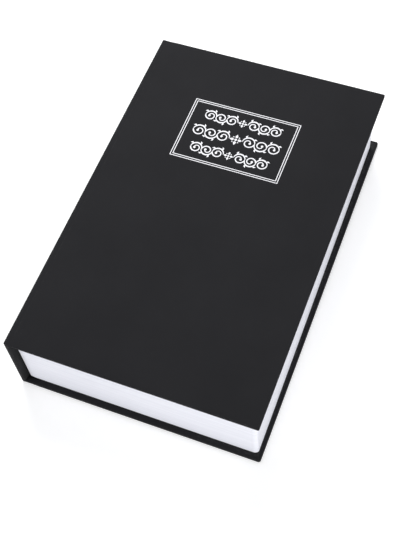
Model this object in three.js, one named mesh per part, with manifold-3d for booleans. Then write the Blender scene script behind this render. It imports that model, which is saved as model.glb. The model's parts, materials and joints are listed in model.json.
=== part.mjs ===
// A book safe: a hardback case that opens on a steel box with a keyed lid, set inside a block of false pages.
// Millimetres, +Z up, lying on its back cover. +X runs from the spine to the fore edge, +Y from the tail to
// the head. Pieces are drawn with X counted from the spine's outer face, and the whole is centred at the end.
import * as THREE from "three";
import { mergeVertices } from "three/addons/utils/BufferGeometryUtils.js";
import Module from "manifold-3d";

// The closed book
const bookLength = 240;
const bookWidth = 153;
const bookThickness = 52;

// The case: boards covered with cloth outside and paper inside
const boardThickness = 1.9;
const clothThickness = 0.3;
const paperThickness = 0.3;
const boardCornerRadius = 1;
const turnInWidth = 15;
const jointWidth = 8.5; // the flexible strip between the spine and a board
const foldGap = 0.3; // between the spine's cloth and the joint that lifts with the front cover
const foldLift = 0.15; // the fold line runs this far above the front cover

// The foil stamped into the front cover and the spine
const foilThickness = 0.1;
const ruleWidth = 0.5;
const titleFromSpine = 75.2;
const titleFromHead = 63.8;
const titleWidth = 70.7;
const titleHeight = 46.9;
const titleRuleStep = 1.4; // from the outer rule's edge to the inner rule's edge
const ornamentWidth = 54;
const ornamentPitch = 13;
const ornamentLineWidth = 0.6;
const ornamentLozengeLength = 14;
const ornamentLozengeHeight = 8;
const ornamentEndLength = 5;
const ornamentEndHeight = 4;
const ornamentMargin = 1;
const spineRuleFromEnd = 20;
const spineRuleStep = 3;
const spineRuleWidth = 0.8;
const spineRuleMargin = 4;

// The false pages
const endSquare = 4; // how far the covers stand past the pages at head and tail
const foreSquare = 3.5; // how far they stand past them at the fore edge
const spineGap = 0.8;
const coverRestGap = 0.3;
const pageWall = 2.5;
const pageSpineCornerRadius = 1.5;
const pageForeCornerRadius = 2.2;
const cavityCornerRadius = 1.5;
const ledgeWidth = 12;
const ledgeThickness = 2;

// The steel box
const sheetThickness = 1;
const sheetCornerRadius = 2;
const lidRecess = 1.6; // from the top of the pages down to the lid
const lidSideGap = 0.5;
const lidSeatGap = 0.3;
const lidFlangeDepth = 8;

// The lid's hinge
const hingeEndInset = 11.5; // from the box's end wall to the end of the hinge
const hingeRoom = 0.6; // between the knuckles and the pages
const knuckleRadius = 1.9;
const knuckleGap = 0.3;
const knuckleCount = 9;
const leafThickness = 0.8;
const trayLeafDepth = 12;
const lidLeafWidth = 10;
const pinRadius = 0.8;
const pinHeadRadius = 1.5;
const pinHeadLength = 0.8;

// The lock
const lockFromFore = 18.5; // from the box's fore wall to the lock's axis
const bezelRadius = 10;
const bezelThickness = 1.2;
const barrelRadius = 8;
const barrelDepth = 11;
const barrelFlatWidth = 14;
const washerRadius = 11;
const washerThickness = 0.8;
const nutAcrossFlats = 20;
const nutThickness = 3;
const plugRadius = 5.2;
const plugHeadRadius = 6.2;
const plugHeadThickness = 0.9;
const shankWidth = 5;
const keywayLength = 8;
const keywayWidth = 1.6;
const keywayDepth = 7;
const camReach = 16; // from the lock's axis to the cam's tip
const camWidth = 10;
const camThickness = 1.5;
const camScrewRadius = 1.2;
const camScrewLength = 5;
const camScrewHeadRadius = 3.4;
const camScrewHeadThickness = 2;
const screwSlotWidth = 0.8;
const screwSlotDepth = 0.8;
const strikeWidth = 24;
const strikeReach = 7;
const strikeHeight = 9;

// The rivets that hold the steel box to the ledge
const rivetRadius = 1.6;
const rivetHeadRadius = 3;
const rivetHeadHeight = 1;

// The two keys, stored on the floor of the box
const keyThickness = 2;
const keyBowRadius = 10;
const keyHoleRadius = 1.9;
const keyBladeLength = 24;
const keyBladeWidth = 6.4;
const keyNotchDepth = 1.8;
const keyNotchWidth = 2.4;
const keyNotchPitch = 4;
const keyTipInset = 2;
const keyPitch = 24;
const keyFromWall = 14;

const runningGap = 0.3; // between pieces that turn or pass in one another
const overrun = 1; // how far a cutting solid runs past what it cuts

// How finely round pieces are faceted
const cornerSteps = 6;
const roundSides = 32;
const smallSides = 16;

// Heights and places that follow from the sizes above
const coverThickness = clothThickness + boardThickness + paperThickness;
const halfLength = bookLength / 2;
const halfBoard = halfLength - clothThickness;
const boardStart = coverThickness + jointWidth;
const frontInner = bookThickness - coverThickness;
const pagesTop = frontInner - coverRestGap;
const pagesStart = coverThickness + spineGap;
const pagesEnd = bookWidth - foreSquare;
const halfPages = halfLength - endSquare;
const cavityStart = pagesStart + pageWall;
const cavityEnd = pagesEnd - pageWall;
const halfCavity = halfPages - pageWall;
const trayFloor = coverThickness + ledgeThickness;
const lidTop = pagesTop - lidRecess;
const lidUnder = lidTop - sheetThickness;
const trayTop = lidUnder - lidSeatGap;
const hingeX = cavityStart + hingeRoom + knuckleRadius;
const hingeZ = lidTop + leafThickness - knuckleRadius;
const trayStart = hingeX + knuckleRadius;
const lidStart = trayStart + runningGap;
const lidEnd = cavityEnd - lidSideGap;
const halfLid = halfCavity - lidSideGap;
const trayEnd = lidEnd - sheetThickness - lidSideGap;
const halfTray = halfLid - sheetThickness - lidSideGap;
const hingeLength = 2 * (halfTray - hingeEndInset);
const knucklePitch = (hingeLength + knuckleGap) / knuckleCount;
const lockX = trayEnd - lockFromFore;
const bezelTop = lidTop + bezelThickness;
const barrelEnd = lidUnder - barrelDepth;
const camTop = barrelEnd - runningGap;
const camUnder = camTop - camThickness;
const titleX = titleFromSpine;
const titleY = halfLength - titleFromHead;
const foldX = coverThickness;
const foldZ = bookThickness + foldLift;

const wasm = await Module();
wasm.setup();

const blackCloth = finish(0x2d2d2f, 0.82, 0);
const greyboard = finish(0x8d867c, 0.9, 0);
const blackPaper = finish(0x1c1c1e, 0.85, 0);
const whiteFoil = finish(0xe8e8ec, 0.4, 0.3);
const whitePages = finish(0xe6e7f0, 0.6, 0);
const paintedSteel = finish(0x26282b, 0.55, 0.2);
const platedSteel = finish(0xb9bcc0, 0.35, 1);
const brass = finish(0xb08d57, 0.35, 1);

function finish(color, roughness, metalness) {
  return new THREE.MeshStandardMaterial({ color, roughness, metalness });
}

// Solids

// A closed solid from a three.js geometry, its vertices shared and its empty triangles left out.
function solidFrom(geometry) {
  geometry.deleteAttribute("normal");
  geometry.deleteAttribute("uv");
  const merged = mergeVertices(geometry);
  const corners = merged.index.array;
  const kept = [];
  for (let i = 0; i < corners.length; i += 3) {
    const [a, b, c] = corners.subarray(i, i + 3);
    if (a !== b && b !== c && c !== a) kept.push(a, b, c);
  }
  return new wasm.Manifold(
    new wasm.Mesh({
      numProp: 3,
      vertProperties: merged.attributes.position.array,
      triVerts: new Uint32Array(kept),
    }),
  );
}

function geometryFrom(solid) {
  const mesh = solid.getMesh();
  const geometry = new THREE.BufferGeometry();
  geometry.setAttribute("position", new THREE.BufferAttribute(mesh.vertProperties, mesh.numProp));
  geometry.setIndex(new THREE.BufferAttribute(mesh.triVerts, 1));
  geometry.computeVertexNormals();
  return geometry;
}

// Moves each vertex of a unit shape to the low or the high end of a span, so that faces meet exactly.
function spread(geometry, axis, [low, high]) {
  const places = geometry.getAttribute("position");
  for (let i = 0; i < places.count; i += 1) {
    const component = places.getComponent(i, axis);
    places.setComponent(i, axis, component > 0 ? high : low);
  }
  return geometry;
}

function block(spanX, spanY, spanZ) {
  const geometry = new THREE.BoxGeometry(1, 1, 1);
  [spanX, spanY, spanZ].forEach((span, axis) => spread(geometry, axis, span));
  return solidFrom(geometry);
}

function plate(outline, spanZ) {
  const geometry = new THREE.ExtrudeGeometry(outline, {
    depth: 1,
    bevelEnabled: false,
    curveSegments: cornerSteps,
  });
  return solidFrom(spread(geometry, 2, spanZ));
}

function roundedPlate([startX, endX], halfY, spanZ, startRadius, endRadius) {
  const turn = Math.PI / 2;
  const outline = new THREE.Shape();
  outline.absarc(endX - endRadius, endRadius - halfY, endRadius, -turn, 0);
  outline.absarc(endX - endRadius, halfY - endRadius, endRadius, 0, turn);
  outline.absarc(startX + startRadius, halfY - startRadius, startRadius, turn, 2 * turn);
  outline.absarc(startX + startRadius, startRadius - halfY, startRadius, 2 * turn, 3 * turn);
  return plate(outline, spanZ);
}

function lozenge(x, y, length, height, spanZ) {
  const outline = new THREE.Shape();
  outline.moveTo(x - length / 2, y);
  outline.lineTo(x, y - height / 2);
  outline.lineTo(x + length / 2, y);
  outline.lineTo(x, y + height / 2);
  return plate(outline, spanZ);
}

// A cylinder along Z whose ends lie exactly on the span.
function upright(x, y, radius, spanZ, sides = roundSides) {
  const geometry = new THREE.CylinderGeometry(radius, radius, 1, sides);
  geometry.rotateX(Math.PI / 2);
  geometry.translate(x, y, 0);
  return solidFrom(spread(geometry, 2, spanZ));
}

// A cylinder along Y on the lid's hinge line.
function alongHinge(radius, spanY, sides = smallSides) {
  const geometry = new THREE.CylinderGeometry(radius, radius, 1, sides);
  geometry.translate(hingeX, 0, hingeZ);
  return solidFrom(spread(geometry, 1, spanY));
}

function middleSpan(centre, width) {
  return [centre - width / 2, centre + width / 2];
}

function makeMesh(name, solid, material) {
  const mesh = new THREE.Mesh(geometryFrom(solid), material);
  mesh.name = name;
  return mesh;
}

// The case

// Cloth glued over a board's outer face and turned in round three of its edges, with the joint beside it.
function boardCloth(outer, coreOuter, coreInner, inner, jointStart) {
  const ascending = (a, b) => [Math.min(a, b), Math.max(a, b)];
  const wrap = roundedPlate(
    [boardStart, bookWidth],
    halfLength,
    ascending(outer, inner),
    0,
    boardCornerRadius + clothThickness,
  );
  const core = roundedPlate(
    [boardStart - overrun, bookWidth - clothThickness],
    halfBoard,
    ascending(coreOuter, coreInner),
    0,
    boardCornerRadius,
  );
  const window = block(
    [boardStart - overrun, bookWidth - turnInWidth],
    [turnInWidth - halfLength, halfLength - turnInWidth],
    ascending(coreInner, inner),
  );
  const joint = block([jointStart, boardStart], [-halfLength, halfLength], ascending(outer, coreOuter));
  return wrap.subtract(core).subtract(window).add(joint);
}

function coverBoard(spanZ) {
  return roundedPlate(
    [boardStart, bookWidth - clothThickness],
    halfBoard,
    spanZ,
    0,
    boardCornerRadius,
  );
}

function endpaper(spanZ) {
  const halfWindow = halfLength - turnInWidth;
  return block([boardStart, bookWidth - turnInWidth], [-halfWindow, halfWindow], spanZ);
}

function jointLining(start, spanZ) {
  return block([start, boardStart], [-halfLength, halfLength], spanZ);
}

const innerSpineZ = [clothThickness, bookThickness - clothThickness];

function spineCloth() {
  const wrap = block([0, coverThickness], [-halfLength, halfLength], [0, bookThickness]);
  const core = block([clothThickness, coverThickness + overrun], [-halfBoard, halfBoard], innerSpineZ);
  return spineRules().reduce((cloth, rule) => cloth.subtract(rule), wrap.subtract(core));
}

function spineBoard() {
  return block([clothThickness, clothThickness + boardThickness], [-halfBoard, halfBoard], innerSpineZ);
}

function spineLining() {
  return block([clothThickness + boardThickness, coverThickness], [-halfBoard, halfBoard], innerSpineZ);
}

// The foil

function spineRules() {
  const acrossSpine = [spineRuleMargin, bookThickness - spineRuleMargin];
  const rules = [];
  for (const end of [1, -1]) {
    for (const step of [0, spineRuleStep]) {
      const y = end * (halfLength - spineRuleFromEnd - step);
      rules.push(block([0, foilThickness], middleSpan(y, spineRuleWidth), acrossSpine));
    }
  }
  return rules;
}

const foilSpanZ = [bookThickness - foilThickness, bookThickness];

function titleRule(inset) {
  const width = titleWidth - 2 * inset;
  const height = titleHeight - 2 * inset;
  const outside = block(middleSpan(titleX, width), middleSpan(titleY, height), foilSpanZ);
  const inside = block(
    middleSpan(titleX, width - 2 * ruleWidth),
    middleSpan(titleY, height - 2 * ruleWidth),
    foilSpanZ,
  );
  return outside.subtract(inside);
}

// Three rows of lozenges on fine lines, joined down the middle.
function titleOrnament() {
  const stemLength = 2 * ornamentPitch;
  let ornament = block(
    middleSpan(titleX, ornamentLineWidth),
    middleSpan(titleY, stemLength),
    foilSpanZ,
  );
  for (const row of [-1, 0, 1]) {
    const y = titleY + row * ornamentPitch;
    const reach = (ornamentWidth - ornamentEndLength) / 2;
    const line = block(middleSpan(titleX, 2 * reach), middleSpan(y, ornamentLineWidth), foilSpanZ);
    const centre = lozenge(titleX, y, ornamentLozengeLength, ornamentLozengeHeight, foilSpanZ);
    ornament = ornament.add(line).add(centre);
    for (const x of [titleX - reach, titleX + reach]) {
      ornament = ornament.add(lozenge(x, y, ornamentEndLength, ornamentEndHeight, foilSpanZ));
    }
  }
  return ornament;
}

// The ornament lies in a shallow panel pressed into the cloth.
function ornamentPanel() {
  const height = 2 * ornamentPitch + ornamentLozengeHeight + 2 * ornamentMargin;
  return block(
    middleSpan(titleX, ornamentWidth + 2 * ornamentMargin),
    middleSpan(titleY, height),
    foilSpanZ,
  );
}

function frontCloth() {
  return boardCloth(
    bookThickness,
    bookThickness - clothThickness,
    frontInner + paperThickness,
    frontInner,
    foldX + foldGap,
  )
    .subtract(titleRule(0))
    .subtract(titleRule(titleRuleStep))
    .subtract(ornamentPanel());
}

// The false pages and the steel box

function rivetPlaces() {
  const inner = trayStart + sheetThickness;
  const outer = trayEnd - sheetThickness;
  const halfInside = halfTray - sheetThickness;
  const x0 = (inner + cavityStart + ledgeWidth) / 2;
  const x1 = (outer + cavityEnd - ledgeWidth) / 2;
  const y = (halfInside + halfCavity - ledgeWidth) / 2;
  return [
    [x0, -y],
    [x1, -y],
    [x1, y],
    [x0, y],
  ];
}

function drillRivets(solid, spanZ) {
  return rivetPlaces().reduce(
    (left, [x, y]) => left.subtract(upright(x, y, rivetRadius + runningGap, spanZ, smallSides)),
    solid,
  );
}

function pageSurround() {
  const outside = roundedPlate(
    [pagesStart, pagesEnd],
    halfPages,
    [coverThickness, pagesTop],
    pageSpineCornerRadius,
    pageForeCornerRadius,
  );
  const cavity = roundedPlate(
    [cavityStart, cavityEnd],
    halfCavity,
    [trayFloor, pagesTop + overrun],
    cavityCornerRadius,
    cavityCornerRadius,
  );
  const base = block(
    [cavityStart + ledgeWidth, cavityEnd - ledgeWidth],
    [ledgeWidth - halfCavity, halfCavity - ledgeWidth],
    [coverThickness - overrun, trayFloor + overrun],
  );
  const hollowed = outside.subtract(cavity).subtract(base);
  return drillRivets(hollowed, [coverThickness - overrun, trayFloor + overrun]);
}

function boxTray() {
  const outside = roundedPlate(
    [trayStart, trayEnd],
    halfTray,
    [trayFloor, trayTop],
    sheetCornerRadius,
    sheetCornerRadius,
  );
  const innerRadius = sheetCornerRadius - sheetThickness;
  const inside = roundedPlate(
    [trayStart + sheetThickness, trayEnd - sheetThickness],
    halfTray - sheetThickness,
    [trayFloor + sheetThickness, trayTop + overrun],
    innerRadius,
    innerRadius,
  );
  const tray = outside.subtract(inside);
  return drillRivets(tray, [trayFloor - overrun, trayFloor + sheetThickness + overrun]);
}

// A domed head on a plain shank, drawn about its own axis with the head's seat at zero.
function rivet() {
  const grip = sheetThickness + ledgeThickness;
  const dome = new THREE.LatheGeometry(
    [
      new THREE.Vector2(0, -grip),
      new THREE.Vector2(rivetRadius, -grip),
      new THREE.Vector2(rivetRadius, 0),
      new THREE.Vector2(rivetHeadRadius, 0),
      ...domeProfile(rivetHeadRadius, rivetHeadHeight),
    ],
    smallSides,
  );
  return solidFrom(dome.rotateX(Math.PI / 2));
}

function domeProfile(radius, height) {
  const points = [];
  for (let step = 1; step <= cornerSteps; step += 1) {
    const angle = (step / cornerSteps) * (Math.PI / 2);
    const reach = step === cornerSteps ? 0 : radius * Math.cos(angle);
    points.push(new THREE.Vector2(reach, height * Math.sin(angle)));
  }
  return points;
}

function boxLid() {
  const outside = roundedPlate(
    [lidStart, lidEnd],
    halfLid,
    [lidUnder - lidFlangeDepth, lidTop],
    0,
    sheetCornerRadius,
  );
  const inside = roundedPlate(
    [lidStart - overrun, lidEnd - sheetThickness],
    halfLid - sheetThickness,
    [lidUnder - lidFlangeDepth - overrun, lidUnder],
    0,
    sheetCornerRadius - sheetThickness,
  );
  return outside.subtract(inside).subtract(barrelOutline(runningGap, [lidUnder - overrun, lidTop + overrun]));
}

// The hinge: two leaves with knuckles that take turns along one pin

function knuckleSpan(index, grow) {
  const low = index * knucklePitch - hingeLength / 2;
  return [low - grow, low + knucklePitch - knuckleGap + grow];
}

function knuckleIndices(first) {
  const indices = [];
  for (let index = first; index < knuckleCount; index += 2) indices.push(index);
  return indices;
}

function hingeLeaf(leaf, own, others, cutAway) {
  let solid = leaf;
  for (const index of knuckleIndices(others)) solid = solid.subtract(cutAway(knuckleSpan(index, knuckleGap)));
  for (const index of knuckleIndices(own)) {
    solid = solid.add(alongHinge(knuckleRadius, knuckleSpan(index, 0)));
  }
  const throughHinge = [-hingeLength / 2 - overrun, hingeLength / 2 + overrun];
  return solid.subtract(alongHinge(pinRadius + runningGap, throughHinge));
}

function hingeLeafTray() {
  const leaf = block(
    [trayStart - leafThickness, trayStart],
    [-hingeLength / 2, hingeLength / 2],
    [hingeZ - trayLeafDepth, hingeZ],
  );
  const cutAway = (spanY) =>
    block(
      [trayStart - leafThickness - overrun, trayStart + overrun],
      spanY,
      [hingeZ - knuckleRadius - runningGap, hingeZ + overrun],
    );
  return hingeLeaf(leaf, 0, 1, cutAway);
}

function hingeLeafLid() {
  const leaf = block(
    [hingeX, hingeX + lidLeafWidth],
    [-hingeLength / 2, hingeLength / 2],
    [lidTop, lidTop + leafThickness],
  );
  const cutAway = (spanY) =>
    block(
      [hingeX - overrun, hingeX + knuckleRadius + runningGap],
      spanY,
      [lidTop - overrun, lidTop + leafThickness + overrun],
    );
  return hingeLeaf(leaf, 1, 0, cutAway);
}

function hingePin() {
  const end = hingeLength / 2 + runningGap;
  const shaft = alongHinge(pinRadius, [-end, end]);
  return shaft.add(alongHinge(pinHeadRadius, [end, end + pinHeadLength]));
}

// The lock, on an axis through the lid

function barrelOutline(grow, spanZ) {
  const round = upright(lockX, 0, barrelRadius + grow, spanZ);
  const flats = block(
    middleSpan(lockX, 2 * (barrelRadius + grow + overrun)),
    middleSpan(0, barrelFlatWidth + 2 * grow),
    spanZ,
  );
  return round.intersect(flats);
}

function lockBarrel() {
  const body = barrelOutline(0, [barrelEnd, lidTop]);
  const bezel = upright(lockX, 0, bezelRadius, [lidTop, bezelTop]);
  const bore = upright(lockX, 0, plugRadius + runningGap, [barrelEnd - overrun, bezelTop + overrun]);
  const recess = upright(
    lockX,
    0,
    plugHeadRadius + runningGap,
    [bezelTop - plugHeadThickness - runningGap, bezelTop + overrun],
  );
  return body.add(bezel).subtract(bore).subtract(recess);
}

const washerUnder = lidUnder - washerThickness;
const nutUnder = washerUnder - nutThickness;

function lockWasher() {
  const disc = upright(lockX, 0, washerRadius, [washerUnder, lidUnder]);
  return disc.subtract(barrelOutline(runningGap, [washerUnder - overrun, lidUnder + overrun]));
}

function lockNut() {
  const cornerRadius = nutAcrossFlats / Math.sqrt(3);
  const hexagon = upright(lockX, 0, cornerRadius, [nutUnder, washerUnder], 6);
  const bore = upright(lockX, 0, barrelRadius + runningGap, [nutUnder - overrun, washerUnder + overrun]);
  return hexagon.subtract(bore);
}

function lockPlug() {
  const body = upright(lockX, 0, plugRadius, [camTop, bezelTop]);
  const head = upright(lockX, 0, plugHeadRadius, [bezelTop - plugHeadThickness, bezelTop]);
  const shank = block(
    middleSpan(lockX, shankWidth),
    middleSpan(0, shankWidth),
    [camUnder, camTop],
  );
  const keyway = block(
    middleSpan(lockX, keywayWidth),
    middleSpan(0, keywayLength),
    [bezelTop - keywayDepth, bezelTop + overrun],
  );
  const tapped = upright(
    lockX,
    0,
    camScrewRadius + runningGap,
    [camUnder - overrun, camUnder + camScrewLength + runningGap],
    smallSides,
  );
  return body.add(head).add(shank).subtract(keyway).subtract(tapped);
}

// The cam points to the tail when the lid is free, and turns to the fore edge to lock it.
function lockCam() {
  const spanZ = [camUnder, camTop];
  const arm = block(middleSpan(lockX, camWidth), [-camReach, 0], spanZ);
  const hub = upright(lockX, 0, camWidth / 2, spanZ);
  const hole = block(
    middleSpan(lockX, shankWidth + 2 * runningGap),
    middleSpan(0, shankWidth + 2 * runningGap),
    [camUnder - overrun, camTop + overrun],
  );
  return arm.add(hub).subtract(hole);
}

function camScrew() {
  const headUnder = camUnder - camScrewHeadThickness;
  const shaft = upright(lockX, 0, camScrewRadius, [camUnder, camUnder + camScrewLength], smallSides);
  const head = upright(lockX, 0, camScrewHeadRadius, [headUnder, camUnder], smallSides);
  const slot = block(
    middleSpan(lockX, 2 * (camScrewHeadRadius + overrun)),
    middleSpan(0, screwSlotWidth),
    [headUnder - overrun, headUnder + screwSlotDepth],
  );
  return shaft.add(head).subtract(slot);
}

// An angle on the inside of the fore wall, whose lower leg the cam turns under.
function latchStrike() {
  const wall = trayEnd - sheetThickness;
  const low = camTop + runningGap;
  const spanY = middleSpan(0, strikeWidth);
  const fixedLeg = block([wall - sheetThickness, wall], spanY, [low, low + strikeHeight]);
  const catchLeg = block([wall - strikeReach, wall], spanY, [low, low + sheetThickness]);
  return fixedLeg.add(catchLeg);
}

// The keys

function key() {
  const spanZ = [0, keyThickness];
  const cutZ = [-overrun, keyThickness + overrun];
  const bow = upright(0, 0, keyBowRadius, spanZ);
  const bladeEnd = keyBowRadius + keyBladeLength;
  const outline = new THREE.Shape();
  outline.moveTo(0, -keyBladeWidth / 2);
  outline.lineTo(bladeEnd - keyTipInset, -keyBladeWidth / 2);
  outline.lineTo(bladeEnd, 0);
  outline.lineTo(bladeEnd - keyTipInset, keyBladeWidth / 2);
  outline.lineTo(0, keyBladeWidth / 2);
  const hole = upright((keyHoleRadius - keyBowRadius) / 2, 0, keyHoleRadius, cutZ, smallSides);
  let solid = bow.add(plate(outline, spanZ)).subtract(hole);
  const lastNotch = bladeEnd - keyTipInset - keyNotchWidth;
  for (let x = lastNotch; x > keyBowRadius + keyNotchPitch; x -= keyNotchPitch) {
    const notch = lozenge(x, keyBladeWidth / 2, keyNotchWidth, 2 * keyNotchDepth, cutZ);
    solid = solid.subtract(notch);
  }
  return solid;
}

// The assembly, each moving group hung on its own hinge line

const bookSafe = new THREE.Group();
const frontCover = new THREE.Group();
frontCover.position.set(foldX, 0, foldZ);
const innerLid = new THREE.Group();
innerLid.position.set(hingeX, 0, hingeZ);
const lockCylinder = new THREE.Group();
lockCylinder.position.set(lockX - hingeX, 0, camTop - hingeZ);
innerLid.add(lockCylinder);
bookSafe.add(frontCover, innerLid);

const boardBottom = clothThickness;
const boardTop = clothThickness + boardThickness;
const frontBoardUnder = frontInner + paperThickness;
const frontBoardTop = bookThickness - clothThickness;

bookSafe.add(
  makeMesh("back_cloth", boardCloth(0, boardBottom, boardTop, coverThickness, coverThickness), blackCloth),
  makeMesh("back_board", coverBoard([boardBottom, boardTop]), greyboard),
  makeMesh("back_endpaper", endpaper([boardTop, coverThickness]), blackPaper),
  makeMesh(
    "back_joint_lining",
    jointLining(coverThickness, [clothThickness, clothThickness + paperThickness]),
    blackPaper,
  ),
  makeMesh("spine_cloth", spineCloth(), blackCloth),
  makeMesh("spine_board", spineBoard(), greyboard),
  makeMesh("spine_lining", spineLining(), blackPaper),
  makeMesh("page_surround", pageSurround(), whitePages),
  makeMesh("box_tray", boxTray(), paintedSteel),
  makeMesh("latch_strike", latchStrike(), platedSteel),
  makeMesh("hinge_leaf_tray", hingeLeafTray(), platedSteel),
  makeMesh("hinge_pin", hingePin(), platedSteel),
);

spineRules().forEach((rule, index) => {
  bookSafe.add(makeMesh(`spine_rule_${index + 1}`, rule, whiteFoil));
});

rivetPlaces().forEach(([x, y], index) => {
  const mesh = makeMesh(`tray_rivet_${index + 1}`, rivet(), platedSteel);
  mesh.position.set(x, y, trayFloor + sheetThickness);
  bookSafe.add(mesh);
});

const keyX = trayStart + sheetThickness + keyFromWall;
const keyY = halfTray - sheetThickness - keyBowRadius - keyBladeLength - keyFromWall;
for (const count of [0, 1]) {
  const mesh = makeMesh(`key_${count + 1}`, key(), brass);
  mesh.position.set(keyX + count * keyPitch, keyY, trayFloor + sheetThickness);
  mesh.rotation.z = Math.PI / 2;
  bookSafe.add(mesh);
}

const frontCoverPieces = [
  makeMesh("front_cloth", frontCloth(), blackCloth),
  makeMesh("front_board", coverBoard([frontBoardUnder, frontBoardTop]), greyboard),
  makeMesh("front_endpaper", endpaper([frontInner, frontBoardUnder]), blackPaper),
  makeMesh(
    "front_joint_lining",
    jointLining(foldX + foldGap, [frontBoardTop - paperThickness, frontBoardTop]),
    blackPaper,
  ),
  makeMesh("title_rule_outer", titleRule(0), whiteFoil),
  makeMesh("title_rule_inner", titleRule(titleRuleStep), whiteFoil),
  makeMesh("title_ornament", titleOrnament(), whiteFoil),
];
const innerLidPieces = [
  makeMesh("box_lid", boxLid(), paintedSteel),
  makeMesh("hinge_leaf_lid", hingeLeafLid(), platedSteel),
  makeMesh("lock_barrel", lockBarrel(), platedSteel),
  makeMesh("lock_washer", lockWasher(), platedSteel),
  makeMesh("lock_nut", lockNut(), platedSteel),
];
const lockCylinderPieces = [
  makeMesh("lock_plug", lockPlug(), brass),
  makeMesh("lock_cam", lockCam(), platedSteel),
  makeMesh("cam_screw", camScrew(), platedSteel),
];
frontCoverPieces.forEach((mesh) => frontCover.attach(mesh));
innerLidPieces.forEach((mesh) => innerLid.attach(mesh));
lockCylinderPieces.forEach((mesh) => lockCylinder.attach(mesh));

bookSafe.position.x = -bookWidth / 2;

export default bookSafe;
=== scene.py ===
import json
import math
from contextlib import contextmanager

import bmesh
import bpy
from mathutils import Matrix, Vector


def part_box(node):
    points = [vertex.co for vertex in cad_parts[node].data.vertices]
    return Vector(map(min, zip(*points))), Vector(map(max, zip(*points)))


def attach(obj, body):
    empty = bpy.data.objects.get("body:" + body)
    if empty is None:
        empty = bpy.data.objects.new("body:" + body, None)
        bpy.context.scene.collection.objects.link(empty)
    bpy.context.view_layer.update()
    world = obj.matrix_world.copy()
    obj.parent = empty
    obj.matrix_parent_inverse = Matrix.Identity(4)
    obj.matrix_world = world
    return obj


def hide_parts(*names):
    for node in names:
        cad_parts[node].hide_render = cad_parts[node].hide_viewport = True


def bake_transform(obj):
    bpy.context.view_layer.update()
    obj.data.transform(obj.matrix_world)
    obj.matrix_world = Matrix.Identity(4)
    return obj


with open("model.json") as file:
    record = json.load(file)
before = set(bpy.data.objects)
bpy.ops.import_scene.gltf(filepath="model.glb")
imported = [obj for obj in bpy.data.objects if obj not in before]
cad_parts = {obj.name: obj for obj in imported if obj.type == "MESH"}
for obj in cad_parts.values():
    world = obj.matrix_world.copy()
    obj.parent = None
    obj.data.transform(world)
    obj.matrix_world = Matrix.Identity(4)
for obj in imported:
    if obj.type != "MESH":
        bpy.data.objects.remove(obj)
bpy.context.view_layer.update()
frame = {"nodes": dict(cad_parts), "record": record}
scene = bpy.context.scene
scene.view_settings.view_transform = "Standard"

mm = 0.001  # lengths in the dictionaries are in millimetres, the scene is in metres

book = {
    "spine": -76.5,  # x of the spine's outer face
    "fore": 76.5,  # x of the covers' fore edges
    "halfLength": 120,  # the tail is at -y and the head at +y
    "top": 52,
}

# Camera

cameraView = {
    "place": (0.14895, -0.30417, 0.55975),  # metres
    "turn": (30.27048, 3.63429, 21.1756),  # degrees
    "lens": 67.763,
    "nearest": 0.01,
}


def addObject(name, data):
    thing = bpy.data.objects.new(name, data)
    scene.collection.objects.link(thing)
    return thing


def setUpCamera():
    camera = addObject("camera", bpy.data.cameras.new("camera"))
    camera.location = cameraView["place"]
    camera.rotation_euler = [math.radians(angle) for angle in cameraView["turn"]]
    camera.data.lens = cameraView["lens"]
    camera.data.clip_start = cameraView["nearest"]
    scene.camera = camera


setUpCamera()
print("camera placed")


# Node trees


def plugIn(tree, value, socket):
    if isinstance(value, bpy.types.NodeSocket):
        tree.links.new(value, socket)
    else:
        socket.default_value = value


def addNode(tree, kind, inputs=None, **settings):
    node = tree.nodes.new(kind)
    for name, value in settings.items():
        setattr(node, name, value)
    for key, value in (inputs or {}).items():
        plugIn(tree, value, node.inputs[key])
    return node


def startTree(name, kind, inputs, outputs):
    # an input is given as the name of its type, or as a number that is its default
    tree = bpy.data.node_groups.new(name, kind)
    for label, given in inputs.items():
        isNumber = not isinstance(given, str)
        socketType = {int: "Int", float: "Float"}[type(given)] if isNumber else given
        socket = tree.interface.new_socket(name=label, in_out="INPUT", socket_type="NodeSocket" + socketType)
        if isNumber:
            socket.default_value = given
    for label, socketType in outputs.items():
        tree.interface.new_socket(name=label, in_out="OUTPUT", socket_type="NodeSocket" + socketType)
    return tree, tree.nodes.new("NodeGroupInput").outputs, tree.nodes.new("NodeGroupOutput").inputs


def calculate(tree, operation, *values):
    return addNode(tree, "ShaderNodeMath", dict(enumerate(values)), operation=operation).outputs[0]


def addShare(tree, value, share, extra):
    # the value with a share of something extra added to it
    return calculate(tree, "MULTIPLY_ADD", extra, share, value)


def remap(tree, value, low, high, newLow=0.0, newHigh=1.0, smooth=False):
    ends = {"Value": value, "From Min": low, "From Max": high, "To Min": newLow, "To Max": newHigh}
    kind = "SMOOTHSTEP" if smooth else "LINEAR"
    return addNode(tree, "ShaderNodeMapRange", ends, interpolation_type=kind).outputs["Result"]


def mix(tree, share, first, second, kind="RGBA"):
    start, result = {"RGBA": (6, 2), "FLOAT": (2, 0)}[kind]
    inputs = {0: share, start: first, start + 1: second}
    return addNode(tree, "ShaderNodeMix", inputs, data_type=kind).outputs[result]


def noise(tree, vector, scale, detail=2.0, roughness=0.5, distortion=0.0):
    inputs = {"Vector": vector, "Scale": scale, "Detail": detail}
    inputs |= {"Roughness": roughness, "Distortion": distortion}
    return addNode(tree, "ShaderNodeTexNoise", inputs).outputs["Fac"]


def sizedNoise(tree, vector, size, detail, roughness):
    # size in millimetres
    return noise(tree, vector, calculate(tree, "DIVIDE", 1 / mm, size), detail, roughness)


def stretch(tree, vector, scale):
    return addNode(tree, "ShaderNodeVectorMath", {0: vector, 1: scale}, operation="MULTIPLY").outputs[0]


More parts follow.
